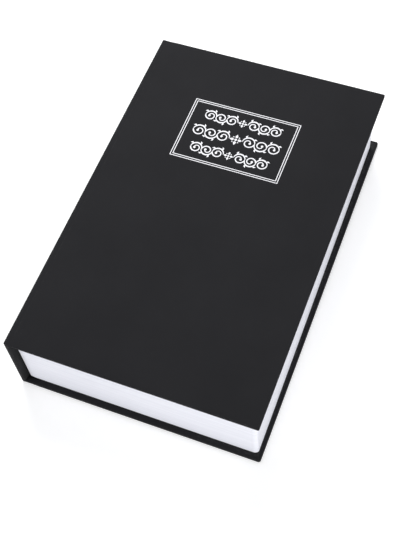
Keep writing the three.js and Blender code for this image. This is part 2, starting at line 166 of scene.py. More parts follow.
def objectPlace(tree):
    return addNode(tree, "ShaderNodeTexCoord").outputs["Object"]


# Effects that several finishes share


def makeGrainGroup():
    # fine surface grain: a height for bump, and a tone that drifts slowly over the piece
    tree, given, result = startTree(
        "fineGrain",
        "ShaderNodeTree",
        {"Vector": "Vector", "Grain Size": 0.4, "Detail": 3.0, "Drift Size": 40.0},
        {"Height": "Float", "Tone": "Float"},
    )
    for output, size, detail in (("Height", "Grain Size", given["Detail"]), ("Tone", "Drift Size", 4.0)):
        pattern = sizedNoise(tree, given["Vector"], given[size], detail, 0.6)
        plugIn(tree, remap(tree, pattern, 0.3, 0.7), result[output])
    return tree


weaveShape = {
    "wander": 420.0,
    "wanderReach": 0.16,
    "slubs": {"X": (90.0, 2600.0, 1.0), "Y": (2600.0, 90.0, 1.0)},  # thicker threads, both ways
    "ridgeShare": 0.65,
}


def makeWeaveGroup():
    # plain weave on a piece's cloth map: threads that pass over and under by turns
    tree, given, result = startTree(
        "plainWeave",
        "ShaderNodeTree",
        {"Vector": "Vector", "Thread Pitch": 0.36, "Slub": 0.6},
        {"Height": "Float"},
    )
    turns = calculate(tree, "DIVIDE", math.pi / mm, given["Thread Pitch"])
    wander, reach = noise(tree, given["Vector"], weaveShape["wander"]), weaveShape["wanderReach"] * mm
    drift = addNode(tree, "ShaderNodeCombineXYZ", {"X": wander, "Y": wander}).outputs[0]
    sideways = {0: drift, 1: (reach, -reach, 0), 2: given["Vector"]}
    shifted = addNode(tree, "ShaderNodeVectorMath", sideways, operation="MULTIPLY_ADD").outputs[0]
    parts = addNode(tree, "ShaderNodeSeparateXYZ", {0: shifted}).outputs
    waves, humps, slubs = [], [], []
    for part, scale in weaveShape["slubs"].items():
        waves.append(calculate(tree, "SINE", calculate(tree, "MULTIPLY", parts[part], turns)))
        humps.append(calculate(tree, "ABSOLUTE", waves[-1]))
        slubs.append(noise(tree, stretch(tree, given["Vector"], scale), 1.0, 1.0))
    over = remap(tree, calculate(tree, "MULTIPLY", *waves), -1.0, 1.0)
    height = mix(tree, weaveShape["ridgeShare"], over, calculate(tree, "MULTIPLY", *humps), "FLOAT")
    plugIn(tree, addShare(tree, height, given["Slub"], calculate(tree, "ADD", *slubs)), result["Height"])
    return tree


def makeRubGroup():
    # rubbed edges: the wear attribute of the mesh, broken up by noise
    tree, given, result = startTree(
        "edgeRub", "ShaderNodeTree", {"Vector": "Vector", "Amount": 0.5, "Patch Size": 2.0}, {"Mask": "Float"}
    )
    wear = addNode(tree, "ShaderNodeAttribute", attribute_name="wear").outputs["Fac"]
    patches = sizedNoise(tree, given["Vector"], given["Patch Size"], 5.0, 0.7)
    mask = remap(tree, addShare(tree, wear, 1.6, patches), 1.55, 2.05, smooth=True)
    plugIn(tree, calculate(tree, "MULTIPLY", mask, given["Amount"]), result["Mask"])
    return tree


scratchShape = {
    "turns": (0.5, -0.9),  # radians
    "scale": (30.0, 3800.0, 900.0),
    "threshold": (0.68, 0.74),
}


def makeScuffGroup():
    # fine straight scratches in two directions and soft smudges, for metal and paint
    tree, given, result = startTree(
        "scuffs",
        "ShaderNodeTree",
        {"Vector": "Vector", "Smudge Size": 14.0, "Low": 0.25, "High": 0.45},
        {"Roughness": "Float", "Scratches": "Float"},
    )
    smudges = sizedNoise(tree, given["Vector"], given["Smudge Size"], 5.0, 0.65)
    lines = []
    for turn in scratchShape["turns"]:
        inputs = {"Vector": given["Vector"], "Angle": turn}
        turned = addNode(tree, "ShaderNodeVectorRotate", inputs, rotation_type="Z_AXIS").outputs[0]
        streaks = noise(tree, stretch(tree, turned, scratchShape["scale"]), 1.0)
        lines.append(remap(tree, streaks, *scratchShape["threshold"], smooth=True))
    scratches = calculate(tree, "MAXIMUM", *lines)
    rough = remap(tree, smudges, 0.3, 0.7, given["Low"], given["High"])
    plugIn(tree, addShare(tree, rough, 0.12, scratches), result["Roughness"])
    plugIn(tree, scratches, result["Scratches"])
    return tree


fineGrain = makeGrainGroup()
plainWeave = makeWeaveGroup()
edgeRub = makeRubGroup()
scuffs = makeScuffGroup()


def useGroup(tree, group, **values):
    inputs = {name.replace("_", " "): value for name, value in values.items()}
    return addNode(tree, "ShaderNodeGroup", inputs, node_tree=group).outputs


# Finishes: a look gives colour, roughness and height, and the bump's depth in millimetres and strength

clothLook = {
    "dark": (0.0122, 0.0122, 0.0137, 1),
    "light": (0.0176, 0.0176, 0.0195, 1),
    "rubbed": (0.05, 0.05, 0.052, 1),
    "speck": (0.045, 0.045, 0.046, 1),
    "threadPitch": 0.36,
    "slub": 0.5,
    "bump": (0.05, 0.6),
}


def weaveHeight(tree):
    clothMap = addNode(tree, "ShaderNodeUVMap", uv_map="cloth").outputs[0]
    pitch, slub = clothLook["threadPitch"], clothLook["slub"]
    return useGroup(tree, plainWeave, Vector=clothMap, Thread_Pitch=pitch, Slub=slub)["Height"]


def bookcloth(tree, place):
    grain = useGroup(tree, fineGrain, Vector=place, Grain_Size=0.7, Drift_Size=45.0)
    rub = useGroup(tree, edgeRub, Vector=place, Amount=0.55, Patch_Size=2.2)
    tone = mix(tree, 0.5, grain["Tone"], grain["Height"], "FLOAT")
    colour = mix(tree, tone, clothLook["dark"], clothLook["light"])
    colour = mix(tree, rub["Mask"], colour, clothLook["rubbed"])
    dust = remap(tree, noise(tree, place, 1500.0, 1.0), 0.76, 0.82, smooth=True)
    colour = mix(tree, dust, colour, clothLook["speck"])
    roughness = remap(tree, grain["Height"], 0.0, 1.0, 0.62, 0.8)
    height = addShare(tree, weaveHeight(tree), 0.7, grain["Height"])
    return colour, roughness, height, *clothLook["bump"]


foilLook = {
    "foil": (0.8, 0.8, 0.83, 1),
    "worn": (0.3, 0.3, 0.31, 1),
    "bump": (0.02, 0.4),
}


def stampedFoil(tree, place):
    weave = weaveHeight(tree)
    patches = noise(tree, place, 1500.0, 3.0, 0.6)
    thin = remap(tree, addShare(tree, patches, -0.12, weave), 0.52, 0.62, 0.0, 0.6)
    colour = mix(tree, thin, foilLook["foil"], foilLook["worn"])
    return colour, remap(tree, patches, 0.3, 0.7, 0.3, 0.5), weave, *foilLook["bump"]


pageLook = {
    "white": (0.85, 0.856, 0.915, 1),
    "shade": (0.77, 0.776, 0.84, 1),
    "linePitch": 0.6,
    "bump": (0.03, 0.5),
}


def pagePlastic(tree, place):
    # long thin streaks, as on cut pages
    grain = useGroup(tree, fineGrain, Vector=place, Grain_Size=0.5, Drift_Size=60.0)
    leaves = noise(tree, stretch(tree, place, (12.0, 12.0, 2400.0)), 1.0, 3.0, 0.7)
    groups = noise(tree, stretch(tree, place, (3.0, 3.0, 420.0)), 1.0)
    streaks = remap(tree, mix(tree, 0.35, leaves, groups, "FLOAT"), 0.4, 0.62)
    colour = mix(tree, streaks, pageLook["white"], pageLook["shade"])
    roughness = remap(tree, grain["Tone"], 0.0, 1.0, 0.42, 0.56)
    return colour, roughness, addShare(tree, leaves, 0.3, grain["Height"]), *pageLook["bump"]


paperLook = {
    "grey": ((0.2, 0.18, 0.15, 1), (0.36, 0.33, 0.28, 1)),  # dark and light
    "black": ((0.009, 0.009, 0.0095, 1), (0.022, 0.022, 0.023, 1)),
    "bump": (0.02, 0.6),
}


def pressedPaper(tree, place, dark, light):
    # short pale fibres on a matt ground
    grain = useGroup(tree, fineGrain, Vector=place, Grain_Size=0.35, Detail=5.0, Drift_Size=30.0)
    fibres = noise(tree, stretch(tree, place, (500.0, 1900.0, 1900.0)), 1.0, 3.0, 0.6, 1.2)
    tone = mix(tree, 0.6, grain["Tone"], remap(tree, fibres, 0.55, 0.75), "FLOAT")
    roughness = remap(tree, grain["Height"], 0.0, 1.0, 0.78, 0.92)
    return mix(tree, tone, dark, light), roughness, grain["Height"], *paperLook["bump"]


paintLook = {
    "dark": (0.0175, 0.0185, 0.02, 1),
    "light": (0.0215, 0.0225, 0.0245, 1),
    "rubbed": (0.11, 0.112, 0.118, 1),
    "scratched": (0.06, 0.06, 0.062, 1),
    "bump": (0.026, 0.8),
}


def powderCoat(tree, place):
    # orange peel, rubbed thin along the edges
    grain = useGroup(tree, fineGrain, Vector=place, Grain_Size=1.1, Detail=1.5, Drift_Size=50.0)
    rub = useGroup(tree, edgeRub, Vector=place, Amount=0.5, Patch_Size=1.4)
    gloss = useGroup(tree, scuffs, Vector=place, Smudge_Size=16.0, Low=0.4, High=0.49)
    colour = mix(tree, grain["Tone"], paintLook["dark"], paintLook["light"])
    colour = mix(tree, rub["Mask"], colour, paintLook["rubbed"])
    faint = calculate(tree, "MULTIPLY", gloss["Scratches"], 0.25)
    colour = mix(tree, faint, colour, paintLook["scratched"])
    return colour, gloss["Roughness"], grain["Height"], *paintLook["bump"]


def bareMetal(tree, place, colour, shade, low, high, depth):
    grain = useGroup(tree, fineGrain, Vector=place, Grain_Size=0.25, Detail=3.0, Drift_Size=9.0)
    gloss = useGroup(tree, scuffs, Vector=place, Smudge_Size=6.0, Low=low, High=high)
    height = addShare(tree, grain["Height"], -0.8, gloss["Scratches"])
    return mix(tree, grain["Tone"], colour, shade), gloss["Roughness"], height, depth, 0.7


def makeFinish(name, look, metallic, specular, *values):
    finish = bpy.data.materials.new(name)
    finish.use_nodes = True
    tree = finish.node_tree
    shader = tree.nodes["Principled BSDF"].inputs
    colour, roughness, height, depth, strength = look(tree, objectPlace(tree), *values)
    bump = addNode(tree, "ShaderNodeBump", {"Height": height, "Distance": depth * mm, "Strength": strength})
    settings = {
        "Metallic": metallic,
        "Specular IOR Level": specular,
        "Base Color": colour,
        "Roughness": roughness,
        "Normal": bump.outputs["Normal"],
    }
    for label, value in settings.items():
        plugIn(tree, value, shader[label])
    return finish


finishTable = {
    # slot: name, look, metallic, specular, and what that look asks for
    "cover_cloth": ("blackBookcloth", bookcloth, 0.0, 0.07),
    "foil": ("whiteFoil", stampedFoil, 0.0, 0.5),
    "pages": ("whitePagePlastic", pagePlastic, 0.0, 0.35),
    "greyboard": ("greyboard", pressedPaper, 0.0, 0.2, *paperLook["grey"]),
    "black_paper": ("blackEndpaper", pressedPaper, 0.0, 0.2, *paperLook["black"]),
    "painted_steel": ("blackPowderCoat", powderCoat, 0.0, 0.45),
}

metalTable = {
    # slot: name, colour, shade, lowest and highest roughness, depth of the grain
    "plated_steel": ("zincPlate", (0.62, 0.63, 0.65, 1), (0.46, 0.47, 0.46, 1), 0.26, 0.42, 0.006),
    "lock_chrome": ("polishedPlate", (0.72, 0.73, 0.75, 1), (0.64, 0.65, 0.67, 1), 0.08, 0.18, 0.002),
    "lock_brass": ("turnedBrass", (0.55, 0.38, 0.15, 1), (0.42, 0.27, 0.1, 1), 0.22, 0.36, 0.006),
    "key_steel": ("nickelPlate", (0.56, 0.55, 0.52, 1), (0.44, 0.43, 0.41, 1), 0.28, 0.42, 0.005),
}

finishes = {slot: makeFinish(*entry) for slot, entry in finishTable.items()}
for slot, (name, *values) in metalTable.items():
    finishes[slot] = makeFinish(name, bareMetal, 1.0, 0.5, *values)
print("finishes made:", len(finishes))


# Stage and light

stage = {
    "floorSize": 6.0,  # metres
    "floorColour": (0.82, 0.82, 0.82, 1),
    "lift": (0.38, 0.7),  # added white that the camera and reflections see, not the object: near and far
    "liftSpan": (0.25, 1.1),  # metres from the middle
    "roomColour": (0.97, 0.98, 1.0, 1),
    "roomLight": 0.46,
    "roomSeen": 1.05,
}


def whiteForEye(tree):
    # 1 for rays that the camera sees, also in metal and through glass
    path = addNode(tree, "ShaderNodeLightPath").outputs
    mirrored = calculate(tree, "MAXIMUM", path["Is Glossy Ray"], path["Is Transmission Ray"])
    return calculate(tree, "MAXIMUM", path["Is Camera Ray"], mirrored)


def makeFloor():
    half = stage["floorSize"] / 2
    mesh = bpy.data.meshes.new("floor")
    corners = [(-half, -half, 0), (half, -half, 0), (half, half, 0), (-half, half, 0)]
    mesh.from_pydata(corners, [], [(0, 1, 2, 3)])
    floor = addObject("floor", mesh)
    finish = bpy.data.materials.new("whiteFloor")
    finish.use_nodes = True
    tree = finish.node_tree
    tree.nodes.remove(tree.nodes["Principled BSDF"])
    paper = addNode(tree, "ShaderNodeBsdfDiffuse", {"Color": stage["floorColour"]}).outputs[0]
    away = addNode(tree, "ShaderNodeVectorMath", {0: objectPlace(tree)}, operation="LENGTH").outputs["Value"]
    white = remap(tree, away, *stage["liftSpan"], *stage["lift"], smooth=True)
    strength = calculate(tree, "MULTIPLY", whiteForEye(tree), white)
    lift = addNode(tree, "ShaderNodeEmission", {"Strength": strength}).outputs[0]
    both = addNode(tree, "ShaderNodeAddShader", {0: paper, 1: lift}).outputs[0]
    plugIn(tree, both, tree.nodes["Material Output"].inputs["Surface"])
    mesh.materials.append(finish)


def makeRoom():
    world = bpy.data.worlds.new("room")
    scene.world = world
    world.use_nodes = True
    tree = world.node_tree
    room = tree.nodes["Background"].inputs
    room["Color"].default_value = stage["roomColour"]
    strength = remap(tree, whiteForEye(tree), 0.0, 1.0, stage["roomLight"], stage["roomSeen"])
    plugIn(tree, strength, room["Strength"])


lamps = {
    # name: place, aimed at, width in metres, watts
    "fromHead": ((-0.26, 0.42, 0.6), (0, 0.05, 0.05), 0.5, 4.4),
    "fromTail": ((0.66, -0.92, 0.5), (0, -0.05, 0.03), 0.7, 8.0),
}


def hangLamp(name, place, target, width, power):
    lamp = addObject(name, bpy.data.lights.new(name, "AREA"))
    lamp.location = place
    lamp.rotation_euler = (Vector(target) - Vector(place)).to_track_quat("-Z", "Y").to_euler()
    lamp.data.shape = "DISK"
    lamp.data.size = width
    lamp.data.energy = power


makeFloor()
makeRoom()
for name, settings in lamps.items():
    hangLamp(name, *settings)
print("stage lit")


# Mesh tools


def arc(centre, radius, first, last, steps):
    # points on a circle between two angles in degrees
    angles = [math.radians(first + (last - first) * step / steps) for step in range(steps + 1)]
    return [(centre[0] + radius * math.cos(angle), centre[1] + radius * math.sin(angle)) for angle in angles]


def circle(centre, radius, sides):
    return arc(centre, radius, 0, 360, sides)[:-1]


def bothSides(line, widths):
    # for each point of a line of (x, y), the points half a width to its left and to its right
    left, right = [], []
    for index, (x, y) in enumerate(line):
        before, after = line[max(index - 1, 0)], line[min(index + 1, len(line) - 1)]
        along = Vector((after[0] - before[0], after[1] - before[1])).normalized() * widths[index] / 2
        left.append((x - along.y, y + along.x))
        right.append((x + along.y, y - along.x))
    return left, right


def fromSolid(name, solid):
    bmesh.ops.recalc_face_normals(solid, faces=solid.faces)
    mesh = bpy.data.meshes.new(name)
    solid.to_mesh(mesh)
    solid.free()
    return addObject(name, mesh)


@contextmanager
def editing(mesh):
    # the mesh as a solid to work on, written back at the end
    solid = bmesh.new()
    solid.from_mesh(mesh)
    yield solid
    solid.to_mesh(mesh)
    solid.free()


def loft(name, rings, closeEnds=True):
    # closed rings with the same number of points, joined in turn; closeEnds False joins the last to the first
    count = len(rings[0])
    solid = bmesh.new()
    corners = [solid.verts.new(Vector(point) * mm) for ring in rings for point in ring]
    for step in range(len(rings) - 1 if closeEnds else len(rings)):
        low, high = step * count, (step + 1) % len(rings) * count
        for index in range(count):
            after = (index + 1) % count
            face = (low + index, low + after, high + after, high + index)
            solid.faces.new([corners[corner] for corner in face])
    if closeEnds:
        solid.faces.new(corners[:count])
        solid.faces.new(corners[-count:])
    return fromSolid(name, solid)


def prism(name, outline, *levels):
    return loft(name, [[(x, y, z) for x, y in outline] for z in sorted(levels)])


onAxis = 0.0001  # a profile ends this near the axis that it turns about


def lathe(name, profile, sides, centre=(0, 0), closed=False):
    # profile of (radius, z) turned about an upright axis
    rings = [[(x, y, z) for x, y in circle(centre, radius, sides)] for radius, z in profile]
    return loft(name, rings, closeEnds=not closed)


def everyEdge(middle, along):
    return True


def upright(middle, along):
    return abs(along.z) > 0.9


def roundOff(solid, radius, steps, belongs=everyEdge):
    # rounds the sharp edges whose middle (mm) and direction pass the test
    chosen = []
    for edge in solid.edges:
        ends = [vertex.co / mm for vertex in edge.verts]
        along = (ends[1] - ends[0]).normalized()
        if edge.calc_face_angle(0) > math.radians(25) and belongs((ends[0] + ends[1]) / 2, along):
            chosen.append(edge)
    size = {"offset": radius * mm, "offset_type": "OFFSET", "segments": steps, "profile": 0.5}
    bmesh.ops.bevel(solid, geom=chosen, affect="EDGES", **size)


def softBox(name, corner, opposite, *rounds):
    # each round is a radius, a number of steps and the test for its edges
    # the spans are sorted, because a box that is turned inside out cuts nothing away
    spans = [sorted(ends) for ends in zip(corner, opposite)]
    solid = bmesh.new()
    bmesh.ops.create_cube(solid, size=1)
    for vertex in solid.verts:
        vertex.co = Vector(((a + b) / 2 + share * (b - a)) * mm for share, (a, b) in zip(vertex.co, spans))
    for radius, steps, belongs in rounds:
        roundOff(solid, radius, steps, belongs)
    return fromSolid(name, solid)


def copyNode(node, name, radius, steps=2):
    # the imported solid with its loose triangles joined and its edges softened
    solid = bmesh.new()
    solid.from_mesh(frame["nodes"][node].data)
    bmesh.ops.remove_doubles(solid, verts=solid.verts, dist=0.001 * mm)
    bmesh.ops.dissolve_limit(solid, angle_limit=math.radians(1), verts=solid.verts, edges=solid.edges)
    roundOff(solid, radius, steps)
    return fromSolid(name, solid)


def settleModifiers(piece):
    graph = bpy.context.evaluated_depsgraph_get()
    mesh = bpy.data.meshes.new_from_object(piece.evaluated_get(graph))
    piece.modifiers.clear()
    piece.data = mesh


def cutAway(piece, *cutters):
    for cutter in cutters:
        cut = piece.modifiers.new("cut", "BOOLEAN")
        cut.operation = "DIFFERENCE"
        cut.solver = "EXACT"
        cut.object = cutter
    settleModifiers(piece)
    for cutter in cutters:
        bpy.data.objects.remove(cutter)


def joinPieces(name, *pieces):
    solid = bmesh.new()
    for piece in pieces:
        solid.from_mesh(piece.data)
        bpy.data.objects.remove(piece)
    mesh = bpy.data.meshes.new(name)
    solid.to_mesh(mesh)
    solid.free()
    return addObject(name, mesh)


def scoreAcross(piece, **places):
    # adds edge loops where planes across x, y or z pass, at places in millimetres
    with editing(piece.data) as solid:
        for axis, distances in places.items():
            normal = Vector([axis == letter for letter in "xyz"])
            for distance in distances:
                everything = [*solid.verts, *solid.edges, *solid.faces]
                at = normal * distance * mm
                bmesh.ops.bisect_plane(solid, geom=everything, dist=1e-7, plane_co=at, plane_no=normal)


def moveBy(piece, shift):
    # shift takes a point in millimetres and gives how far it moves
    for vertex in piece.data.vertices:
        vertex.co += Vector(shift(vertex.co / mm)) * mm


def markWear(mesh):
    # how sharply the surface turns outwards at each vertex, for rubbed edges
    fullWear = math.radians(22)
    with editing(mesh) as solid:
        layer = solid.verts.layers.float.new("wear")
        for vertex in solid.verts:
            bends = [edge.calc_face_angle_signed(0) for edge in vertex.link_edges]
            vertex[layer] = min(1.0, max(0.0, max(bends, default=0.0) / fullWear))


def markCloth(mesh):
    # a map in metres, so that threads run with the faces of the piece
    clothMap = mesh.uv_layers.new(name="cloth")
    for face in mesh.polygons:
        across = max(range(3), key=lambda axis: abs(face.normal[axis]))
        first, second = [(2, 1), (0, 2), (0, 1)][across]
        for loop in face.loop_indices:
            place = mesh.vertices[mesh.loops[loop].vertex_index].co
            clothMap.data[loop].uv = (place[first], place[second])


def finishPiece(piece, body, slot, *replaced, sharp=32, weighted=True):
    mesh = piece.data
    mesh.shade_smooth()
    mesh.set_sharp_from_angle(angle=math.radians(sharp))
    if weighted:
        piece.modifiers.new("even", "WEIGHTED_NORMAL").keep_sharp = True
        settleModifiers(piece)
        mesh = piece.data
    if slot in ("cover_cloth", "painted_steel"):
        markWear(mesh)
    if slot in ("cover_cloth", "foil"):
        markCloth(mesh)
    mesh.name = piece.name
    mesh.materials.clear()
    mesh.materials.append(finishes[slot])
    if body:
        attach(piece, body)
    if replaced:
        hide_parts(*replaced)


# Trees that repeat a piece along a line and sweep an outline round a block


def closeTree(tree, geometry, finish, result):
    real = addNode(tree, "GeometryNodeRealizeInstances", {0: geometry}).outputs[0]
    coloured = addNode(tree, "GeometryNodeSetMaterial", {"Geometry": real, "Material": finish}).outputs[0]
    plugIn(tree, coloured, result["Geometry"])


def makeRepeatTree():
    tree, given, result = startTree(
        "repeatAlong",
        "GeometryNodeTree",
        {"Geometry": "Geometry", "Count": 2, "Step": "Vector", "Start": "Vector", "Material": "Material"},
        {"Geometry": "Geometry"},
    )
    places = {"Count": given["Count"], "Start Location": given["Start"], "Offset": given["Step"]}
    line = addNode(tree, "GeometryNodeMeshLine", places, mode="OFFSET").outputs[0]
    copies = addNode(tree, "GeometryNodeInstanceOnPoints", {"Points": line, "Instance": given["Geometry"]})
    closeTree(tree, copies.outputs[0], given["Material"], result)
    return tree


def makeSweepTree():
    tree, given, result = startTree(
        "sweepRound",
        "GeometryNodeTree",
        {
            "Geometry": "Geometry",
            "Width": 0.1,
            "Length": 0.2,
            "Left Radius": 0.004,
            "Right Radius": 0.004,
            "Corner Steps": 7,
            "Groove Depth": 0.0,
            "Seed": 1,
            "Material": "Material",
        },
        {"Geometry": "Geometry"},
    )
    sides = {"Width": given["Width"], "Height": given["Length"]}
    path = addNode(tree, "GeometryNodeCurvePrimitiveQuadrilateral", sides, mode="RECTANGLE").outputs[0]
    place = addNode(tree, "ShaderNodeSeparateXYZ", {0: addNode(tree, "GeometryNodeInputPosition").outputs[0]})
    onRight = calculate(tree, "GREATER_THAN", place.outputs["X"], 0.0)
    radius = remap(tree, onRight, 0.0, 1.0, given["Left Radius"], given["Right Radius"])
    corners = {"Curve": path, "Radius": radius, "Count": given["Corner Steps"]}
    rounded = addNode(tree, "GeometryNodeFilletCurve", corners, mode="POLY").outputs[0]
    outline = addNode(tree, "GeometryNodeMeshToCurve", {"Mesh": given["Geometry"]}).outputs[0]
    groove = addNode(tree, "GeometryNodeInputNamedAttribute", {"Name": "groove"}, data_type="FLOAT")
    limits = {2: 0.45, 3: 1.0, "Seed": given["Seed"]}  # the least and the most of a groove's depth
    chance = addNode(tree, "FunctionNodeRandomValue", limits, data_type="FLOAT")
    depth = calculate(tree, "MULTIPLY", groove.outputs["Attribute"], chance.outputs[1])
    inwards = calculate(tree, "MULTIPLY", calculate(tree, "MULTIPLY", depth, given["Groove Depth"]), -1.0)
    offset = addNode(tree, "ShaderNodeCombineXYZ", {"X": inwards}).outputs[0]
    grooved = addNode(tree, "GeometryNodeSetPosition", {"Geometry": outline, "Offset": offset}).outputs[0]
    swept = addNode(tree, "GeometryNodeCurveToMesh", {"Curve": rounded, "Profile Curve": grooved})
    closeTree(tree, swept.outputs[0], given["Material"], result)
    return tree


repeatAlong = makeRepeatTree()
sweepRound = makeSweepTree()


def applyTree(piece, tree, **values):
    modifier = piece.modifiers.new(tree.name, "NODES")
    modifier.node_group = tree
    for item in tree.interface.items_tree:
        key = item.name.replace(" ", "_")
        if item.in_out == "INPUT" and key in values:
            modifier[item.identifier] = values[key]
    settleModifiers(piece)


def repeat(piece, count, step, start, slot):
    step, start = [part * mm for part in step], [part * mm for part in start]
    applyTree(piece, repeatAlong, Count=count, Step=step, Start=start, Material=finishes[slot])


def sweep(name, profile, x, y, radii, slot, grooves=(), **values):
    # profile of (outwards, z), swept round a rounded rectangle with the spans x and y
    mesh = bpy.data.meshes.new(name)
    count = len(profile)
    edges = [(index, (index + 1) % count) for index in range(count)]
    mesh.from_pydata([(out * mm, -z * mm, 0) for out, z in profile], edges, [])
    groove = mesh.attributes.new("groove", "FLOAT", "POINT")
    for index, value in enumerate(grooves):
        groove.data[index].value = value
    piece = addObject(name, mesh)
    applyTree(
        piece,
        sweepRound,
        Width=(x[1] - x[0]) * mm,
        Length=(y[1] - y[0]) * mm,
        Left_Radius=radii[0] * mm,
        Right_Radius=radii[1] * mm,
        Material=finishes[slot],
        **values,
    )
    with editing(piece.data) as solid:
        bmesh.ops.translate(solid, verts=solid.verts, vec=Vector((sum(x) / 2, sum(y) / 2, 0)) * mm)
        bmesh.ops.recalc_face_normals(solid, faces=solid.faces)
    return piece


print("tools ready")

# Covers: cloth over board, turned in round three edges

cover = {
    "thickness": 2.5,
    "cloth": 0.3,
    "edgeRound": 0.72,
    "frontCorner": 0.9,
    "backCorner": 1.3,
    "turnIn": 15,
    "boardStart": -65.5,
    "wrapEnd": 116.4,
    "foldLow": -75.2,  # the fold strip spans these, across the joint
    "foldHigh": -72.8,
    "jointDip": 0.25,
    "dipSpan": (-75.8, -65.7),
    "jointLoops": (-74.6, -73.4, -72, -70.6, -69.2, -67.8, -66.6, -65.7),
    "edgeLoop": 2.2,  # an edge loop runs this far inside each rim
    "mitreWidth": 0.16,
    "mitreDepth": 0.12,
    "hemDepth": (1.7, 2.35),  # cloth rolled in at the joint's ends, at the fold and at the board
    "hemRound": 0.7,
    "hemClear": 0.02,
}


def jointDip(x):
    low, high = cover["dipSpan"]
    if not low < x < high:
        return 0
    return cover["jointDip"] * math.sin(math.pi * (x - low) / (high - low)) ** 2


def mitreCut(side, inner, outward):
    # a fine line at 45 degrees where the turned-in cloth meets at a fore corner
    half, reach, overrun = cover["mitreWidth"] / 2, cover["turnIn"], 1
    outline = []
    for along, across in ((-overrun, -half), (reach, -half), (reach, half), (-overrun, half)):
        outline.append((book["fore"] - along - across, side * (book["halfLength"] - along + across)))
    return prism("mitre", outline, inner - outward, inner + outward * cover["mitreDepth"])


def jointHem(side, outer, outward, start):
    # the cloth rolled in at one end of the joint
    radius, (thin, thick), clear = cover["hemRound"], cover["hemDepth"], cover["hemClear"]
    end = cover["boardStart"] - 0.1
    inside, outside = cover["wrapEnd"] + 0.2, book["halfLength"] - clear - radius
    rings = []
    steps = 8
    for step in range(steps + 1):
        x = start + (end - start) * step / steps
        lower = thin + (thick - thin) * step / steps - radius
        ring = [(inside, -cover["cloth"] / 2)]
        for y, deep, first in ((outside, radius, 90), (outside, lower, 0), (inside + radius, lower, -90)):
            ring += arc((y, -deep - clear), radius, first, first - 90, 5)
        rings.append([(x, side * y, outer + outward * (z - jointDip(x))) for y, z in ring])
    return loft("hem", rings)


def coverCloth(name, outer, inner, start, corner):
    outward = 1 if outer > inner else -1
    fore, half, cloth, turnIn = book["fore"], book["halfLength"], cover["cloth"], cover["turnIn"]
    board, wrap, loop = cover["boardStart"], cover["wrapEnd"], cover["edgeLoop"]
    innerCloth, outerCloth = inner + outward * cloth, outer - outward * cloth

    def isForeCorner(middle, along):
        return upright(middle, along) and middle.x > fore - 0.1

    def isRim(middle, along):
        outside = middle.x > fore - 2 or abs(middle.y) > half - 2
        return outside and middle.x > start + 0.1 and not upright(middle, along)

    low, high = sorted((outer, inner))
    rounds = [(corner, 6, isForeCorner), (cover["edgeRound"], 5, isRim)]
    skin = softBox(name, (start, -half, low), (fore, half, high), *rounds)
    core = softBox("core", (board, cloth - half, innerCloth), (fore - cloth, half - cloth, outerCloth))
    opening = [(start - 1, turnIn - half, inner - outward), (fore - turnIn, half - turnIn, inner + outward)]
    window = softBox("window", *opening)
    # the cut for the joint leaves the turned-in cloth round the board's edge at head and tail
    joint = [(start - 1, -half - 1), (board - cloth, -half - 1)]
    joint += [(board - cloth, -wrap), (board + 0.05, -wrap)]
    joint += [(x, -y) for x, y in reversed(joint)]
    underJoint = prism("underJoint", joint, inner - outward, outerCloth)
    cutAway(skin, core, window, underJoint, *[mitreCut(side, inner, outward) for side in (-1, 1)])
    scoreAcross(skin, x=[*cover["jointLoops"], fore - loop], y=[loop - half, half - loop])
    moveBy(skin, lambda point: (0, 0, -outward * jointDip(point.x)))
    return joinPieces(name, skin, *[jointHem(side, outer, outward, start) for side in (-1, 1)])


def foldStrip(name):
    # the bare cloth of the joint's fold, with the covers' rounded ends
    radius, low, high = cover["edgeRound"], cover["foldLow"], cover["foldHigh"]
    lowest = math.degrees(math.asin(1 - cover["cloth"] / radius))
    ends = arc((book["halfLength"] - radius, book["top"] - radius), radius, 90, lowest, 5)
    section = [(-y, z) for y, z in reversed(ends)] + ends
    steps = 14
    places = [low + (high - low) * step / steps for step in range(steps + 1)]
    return loft(name, [[(x, y, z - jointDip(x)) for y, z in section] for x in places])


def spineCloth(name):
    left, half, top, cloth = book["spine"], book["halfLength"], book["top"], cover["cloth"]
    right, loop = left + cover["thickness"], cover["edgeLoop"]

    def isOutside(middle, along):
        atEnd = abs(middle.y) > half - 0.1
        return middle.x < left + 0.1 or (atEnd and (upright(middle, along) or abs(along.x) > 0.9))

    skin = softBox(name, (left, -half, 0), (right, half, top), (cover["edgeRound"], 5, isOutside))
    core = softBox("core", (left + cloth, cloth - half, cloth), (right + 1, half - cloth, top - cloth))
    foldRoom = softBox("foldRoom", (cover["foldLow"], -half - 1, top - cloth), (right + 1, half + 1, top + 1))
    cutAway(skin, core, foldRoom)
    scoreAcross(skin, y=[loop - half, half - loop], z=[loop, top - loop])
    return skin


thickness, top = cover["thickness"], book["top"]
frontSkin = coverCloth("frontCoverCloth", top, top - thickness, cover["foldHigh"], cover["frontCorner"])
finishPiece(frontSkin, "front_cover", "cover_cloth", "front_cloth")
backSkin = coverCloth("backCoverCloth", 0, thickness, book["spine"] + thickness, cover["backCorner"])
finishPiece(backSkin, "book_case", "cover_cloth", "back_cloth")
finishPiece(spineCloth("spineCoverCloth"), "book_case", "cover_cloth", "spine_cloth")
fold = foldStrip("foldCloth")
finishPiece(fold, None, "cover_cloth")  # it lies between two bodies and is attached to neither
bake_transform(fold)
print("covers wrapped")

# Lining paper: pasted over the turned-in cloth, round the board's edge and along the joint

